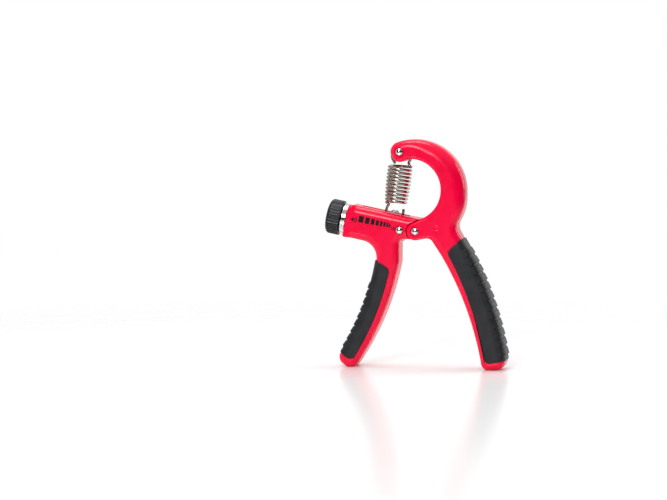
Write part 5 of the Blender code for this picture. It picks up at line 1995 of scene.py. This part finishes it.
@dataclass(frozen=True)
class Studio:
    """The floor, the world, the lamps and the camera."""

    azimuth: float = 12.0
    elevation: float = 4.0
    distance: float = 1500.0
    focal_length: float = 125.4
    aim_right: float = -53.7
    aim_height: float = 75.9
    floor_reach: float = 1400.0
    floor_level: float = -0.05
    floor_fade: Pair = (330.0, 720.0)
    floor_centre: float = -230.0
    floor_colour: float = 0.93
    floor_mirror: float = 0.34
    floor_roughness: float = 0.20
    dark: float = 0.02
    overhead: float = 0.55
    behind: float = 1.0
    left: float = 0.6
    lamps: tuple[Softbox, ...] = (
        Softbox("top_lamp", (-60, 60, 900), (0, 0, 60), (560, 360), 3.8),
        Softbox("front_lamp", (-160, -1150, 640), (0, 0, 70), (420, 420), 8.3),
        Softbox("right_lamp", (800, 500, 400), (0, 0, 70), (260, 520), 2.2),
    )

    def ramp(self, nodes: bpy.types.Nodes, source: Socket, reach: Pair,
             levels: Pair = (0.0, 1.0)) -> Socket:
        """A smooth step of a value from one level to another.

        Args:
            nodes: the nodes of the tree that it joins.
            source: the socket of the value.
            reach: the values where the step starts and ends.
            levels: the levels before and after it.

        Returns:
            The socket of the result.
        """
        step = nodes.new("ShaderNodeMapRange")
        step.interpolation_type = "SMOOTHSTEP"
        for name, value in zip(("From Min", "From Max", "To Min", "To Max"), (*reach, *levels)):
            step.inputs[name].default_value = value
        step.id_data.links.new(source, step.inputs["Value"])
        return step.outputs["Result"]

    def floor(self) -> None:
        """A pale floor with the object's shadow and a faint reflection, which ends in the white."""
        reach = self.floor_reach
        corners = np.array(((-1, -1), (1, -1), (1, 1), (-1, 1))) * reach
        made = new_object("floor", np.column_stack((corners, np.full(4, self.floor_level))), [[0, 1, 2, 3]])
        tree = Tree("floor")
        tree.nodes.remove(tree.shader)
        matt, mirror = tree.nodes.new("ShaderNodeBsdfDiffuse"), tree.nodes.new("ShaderNodeBsdfGlossy")
        matt.inputs["Color"].default_value = (*(self.floor_colour,) * 3, 1)
        mirror.inputs["Color"].default_value = (1, 1, 1, 1)
        mirror.inputs["Roughness"].default_value = self.floor_roughness
        surface, ended = tree.nodes.new("ShaderNodeMixShader"), tree.nodes.new("ShaderNodeMixShader")
        surface.inputs["Fac"].default_value = self.floor_mirror
        tree.links.new(matt.outputs[0], surface.inputs[1])
        tree.links.new(mirror.outputs[0], surface.inputs[2])
        far = tree.nodes.new("ShaderNodeVectorMath")
        far.operation = "DISTANCE"
        far.inputs[1].default_value = (0, self.floor_centre * MM, 0)
        tree.links.new(tree.places, far.inputs[0])
        reach = tuple(distance * MM for distance in self.floor_fade)
        faded = self.ramp(tree.nodes, far.outputs["Value"], reach)
        tree.links.new(faded, ended.inputs["Fac"])
        tree.links.new(surface.outputs[0], ended.inputs[1])
        tree.links.new(tree.nodes.new("ShaderNodeBsdfTransparent").outputs[0], ended.inputs[2])
        tree.links.new(ended.outputs[0], tree.nodes["Material Output"].inputs["Surface"])
        made.data.materials.append(tree.material)

    def world(self) -> None:
        """White for the camera, and for reflections white overhead and behind, dark at the front."""
        world = bpy.data.worlds.new("studio")
        world.use_nodes = True
        nodes, links = world.node_tree.nodes, world.node_tree.links
        nodes.clear()
        parts = nodes.new("ShaderNodeSeparateXYZ")
        links.new(nodes.new("ShaderNodeTexCoord").outputs["Generated"], parts.inputs["Vector"])
        level = self.ramp(nodes, parts.outputs["Z"], (0.3, 0.8), (self.dark, self.overhead))
        for part, reach, strength in (("Y", (0.35, 0.85), self.behind), ("X", (-0.6, -0.95), self.left)):
            most = nodes.new("ShaderNodeMath")
            most.operation = "MAXIMUM"
            links.new(level, most.inputs[0])
            links.new(self.ramp(nodes, parts.outputs[part], reach, (self.dark, strength)), most.inputs[1])
            level = most.outputs["Value"]
        lit = nodes.new("ShaderNodeMix")
        lit.data_type = "FLOAT"
        lit.inputs["B"].default_value = 1.0
        links.new(nodes.new("ShaderNodeLightPath").outputs["Is Camera Ray"], lit.inputs["Factor"])
        links.new(level, lit.inputs["A"])
        background = nodes.new("ShaderNodeBackground")
        background.inputs["Color"].default_value = (1, 1, 1, 1)
        links.new(lit.outputs["Result"], background.inputs["Strength"])
        links.new(background.outputs["Background"], nodes.new("ShaderNodeOutputWorld").inputs["Surface"])
        bpy.context.scene.world = world

    def camera(self) -> None:
        """The camera at the photograph's angle, aimed so that the object has its place in the frame."""
        azimuth, elevation = math.radians(self.azimuth), math.radians(self.elevation)
        right = Vector((math.cos(azimuth), math.sin(azimuth), 0))
        back = Vector((math.sin(azimuth) * math.cos(elevation), -math.cos(azimuth) * math.cos(elevation),
                       math.sin(elevation)))
        aim = right * self.aim_right + Vector((0, 0, self.aim_height))
        lens = bpy.data.cameras.new("camera")
        lens.lens, lens.sensor_width = self.focal_length, 36.0
        made = bpy.data.objects.new("camera", lens)
        made.location = (aim + back * self.distance) * MM
        made.rotation_euler = (-back).to_track_quat("-Z", "Y").to_euler()
        bpy.context.scene.collection.objects.link(made)
        bpy.context.scene.camera = made

    def build(self) -> None:
        """Make the whole studio."""
        self.floor()
        self.world()
        for lamp in self.lamps:
            lamp.build()
        self.camera()
        bpy.context.scene.view_settings.view_transform = "Standard"


def main() -> None:
    """Build every sub-assembly on its body, then the studio."""
    logging.basicConfig(level=logging.INFO, format="%(name)s: %(message)s")
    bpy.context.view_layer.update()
    finishes = Finishes()
    fixed = FixedSide()
    fixed.build(finishes)
    EndCollar().build(finishes)
    EndBush().build(fixed.bush_rivet(), finishes)
    Rivet("bush_rivet", Body.FIXED).build(fixed.bush_rivet(), finishes)
    PivotFittings().build(finishes)
    Lever().build(finishes)
    Rivet("pivot_rivet", Body.LEVER).build(np.array(LAYOUT.pivot), finishes)
    Rivet("tip_rivet", Body.LEVER).build(LAYOUT.tip(), finishes)
    Adjuster().build(finishes)
    Carriage().build(finishes)
    Spring().build(finishes)
    Studio().build()
    bpy.context.view_layer.update()


if __name__ == "__main__":
    main()
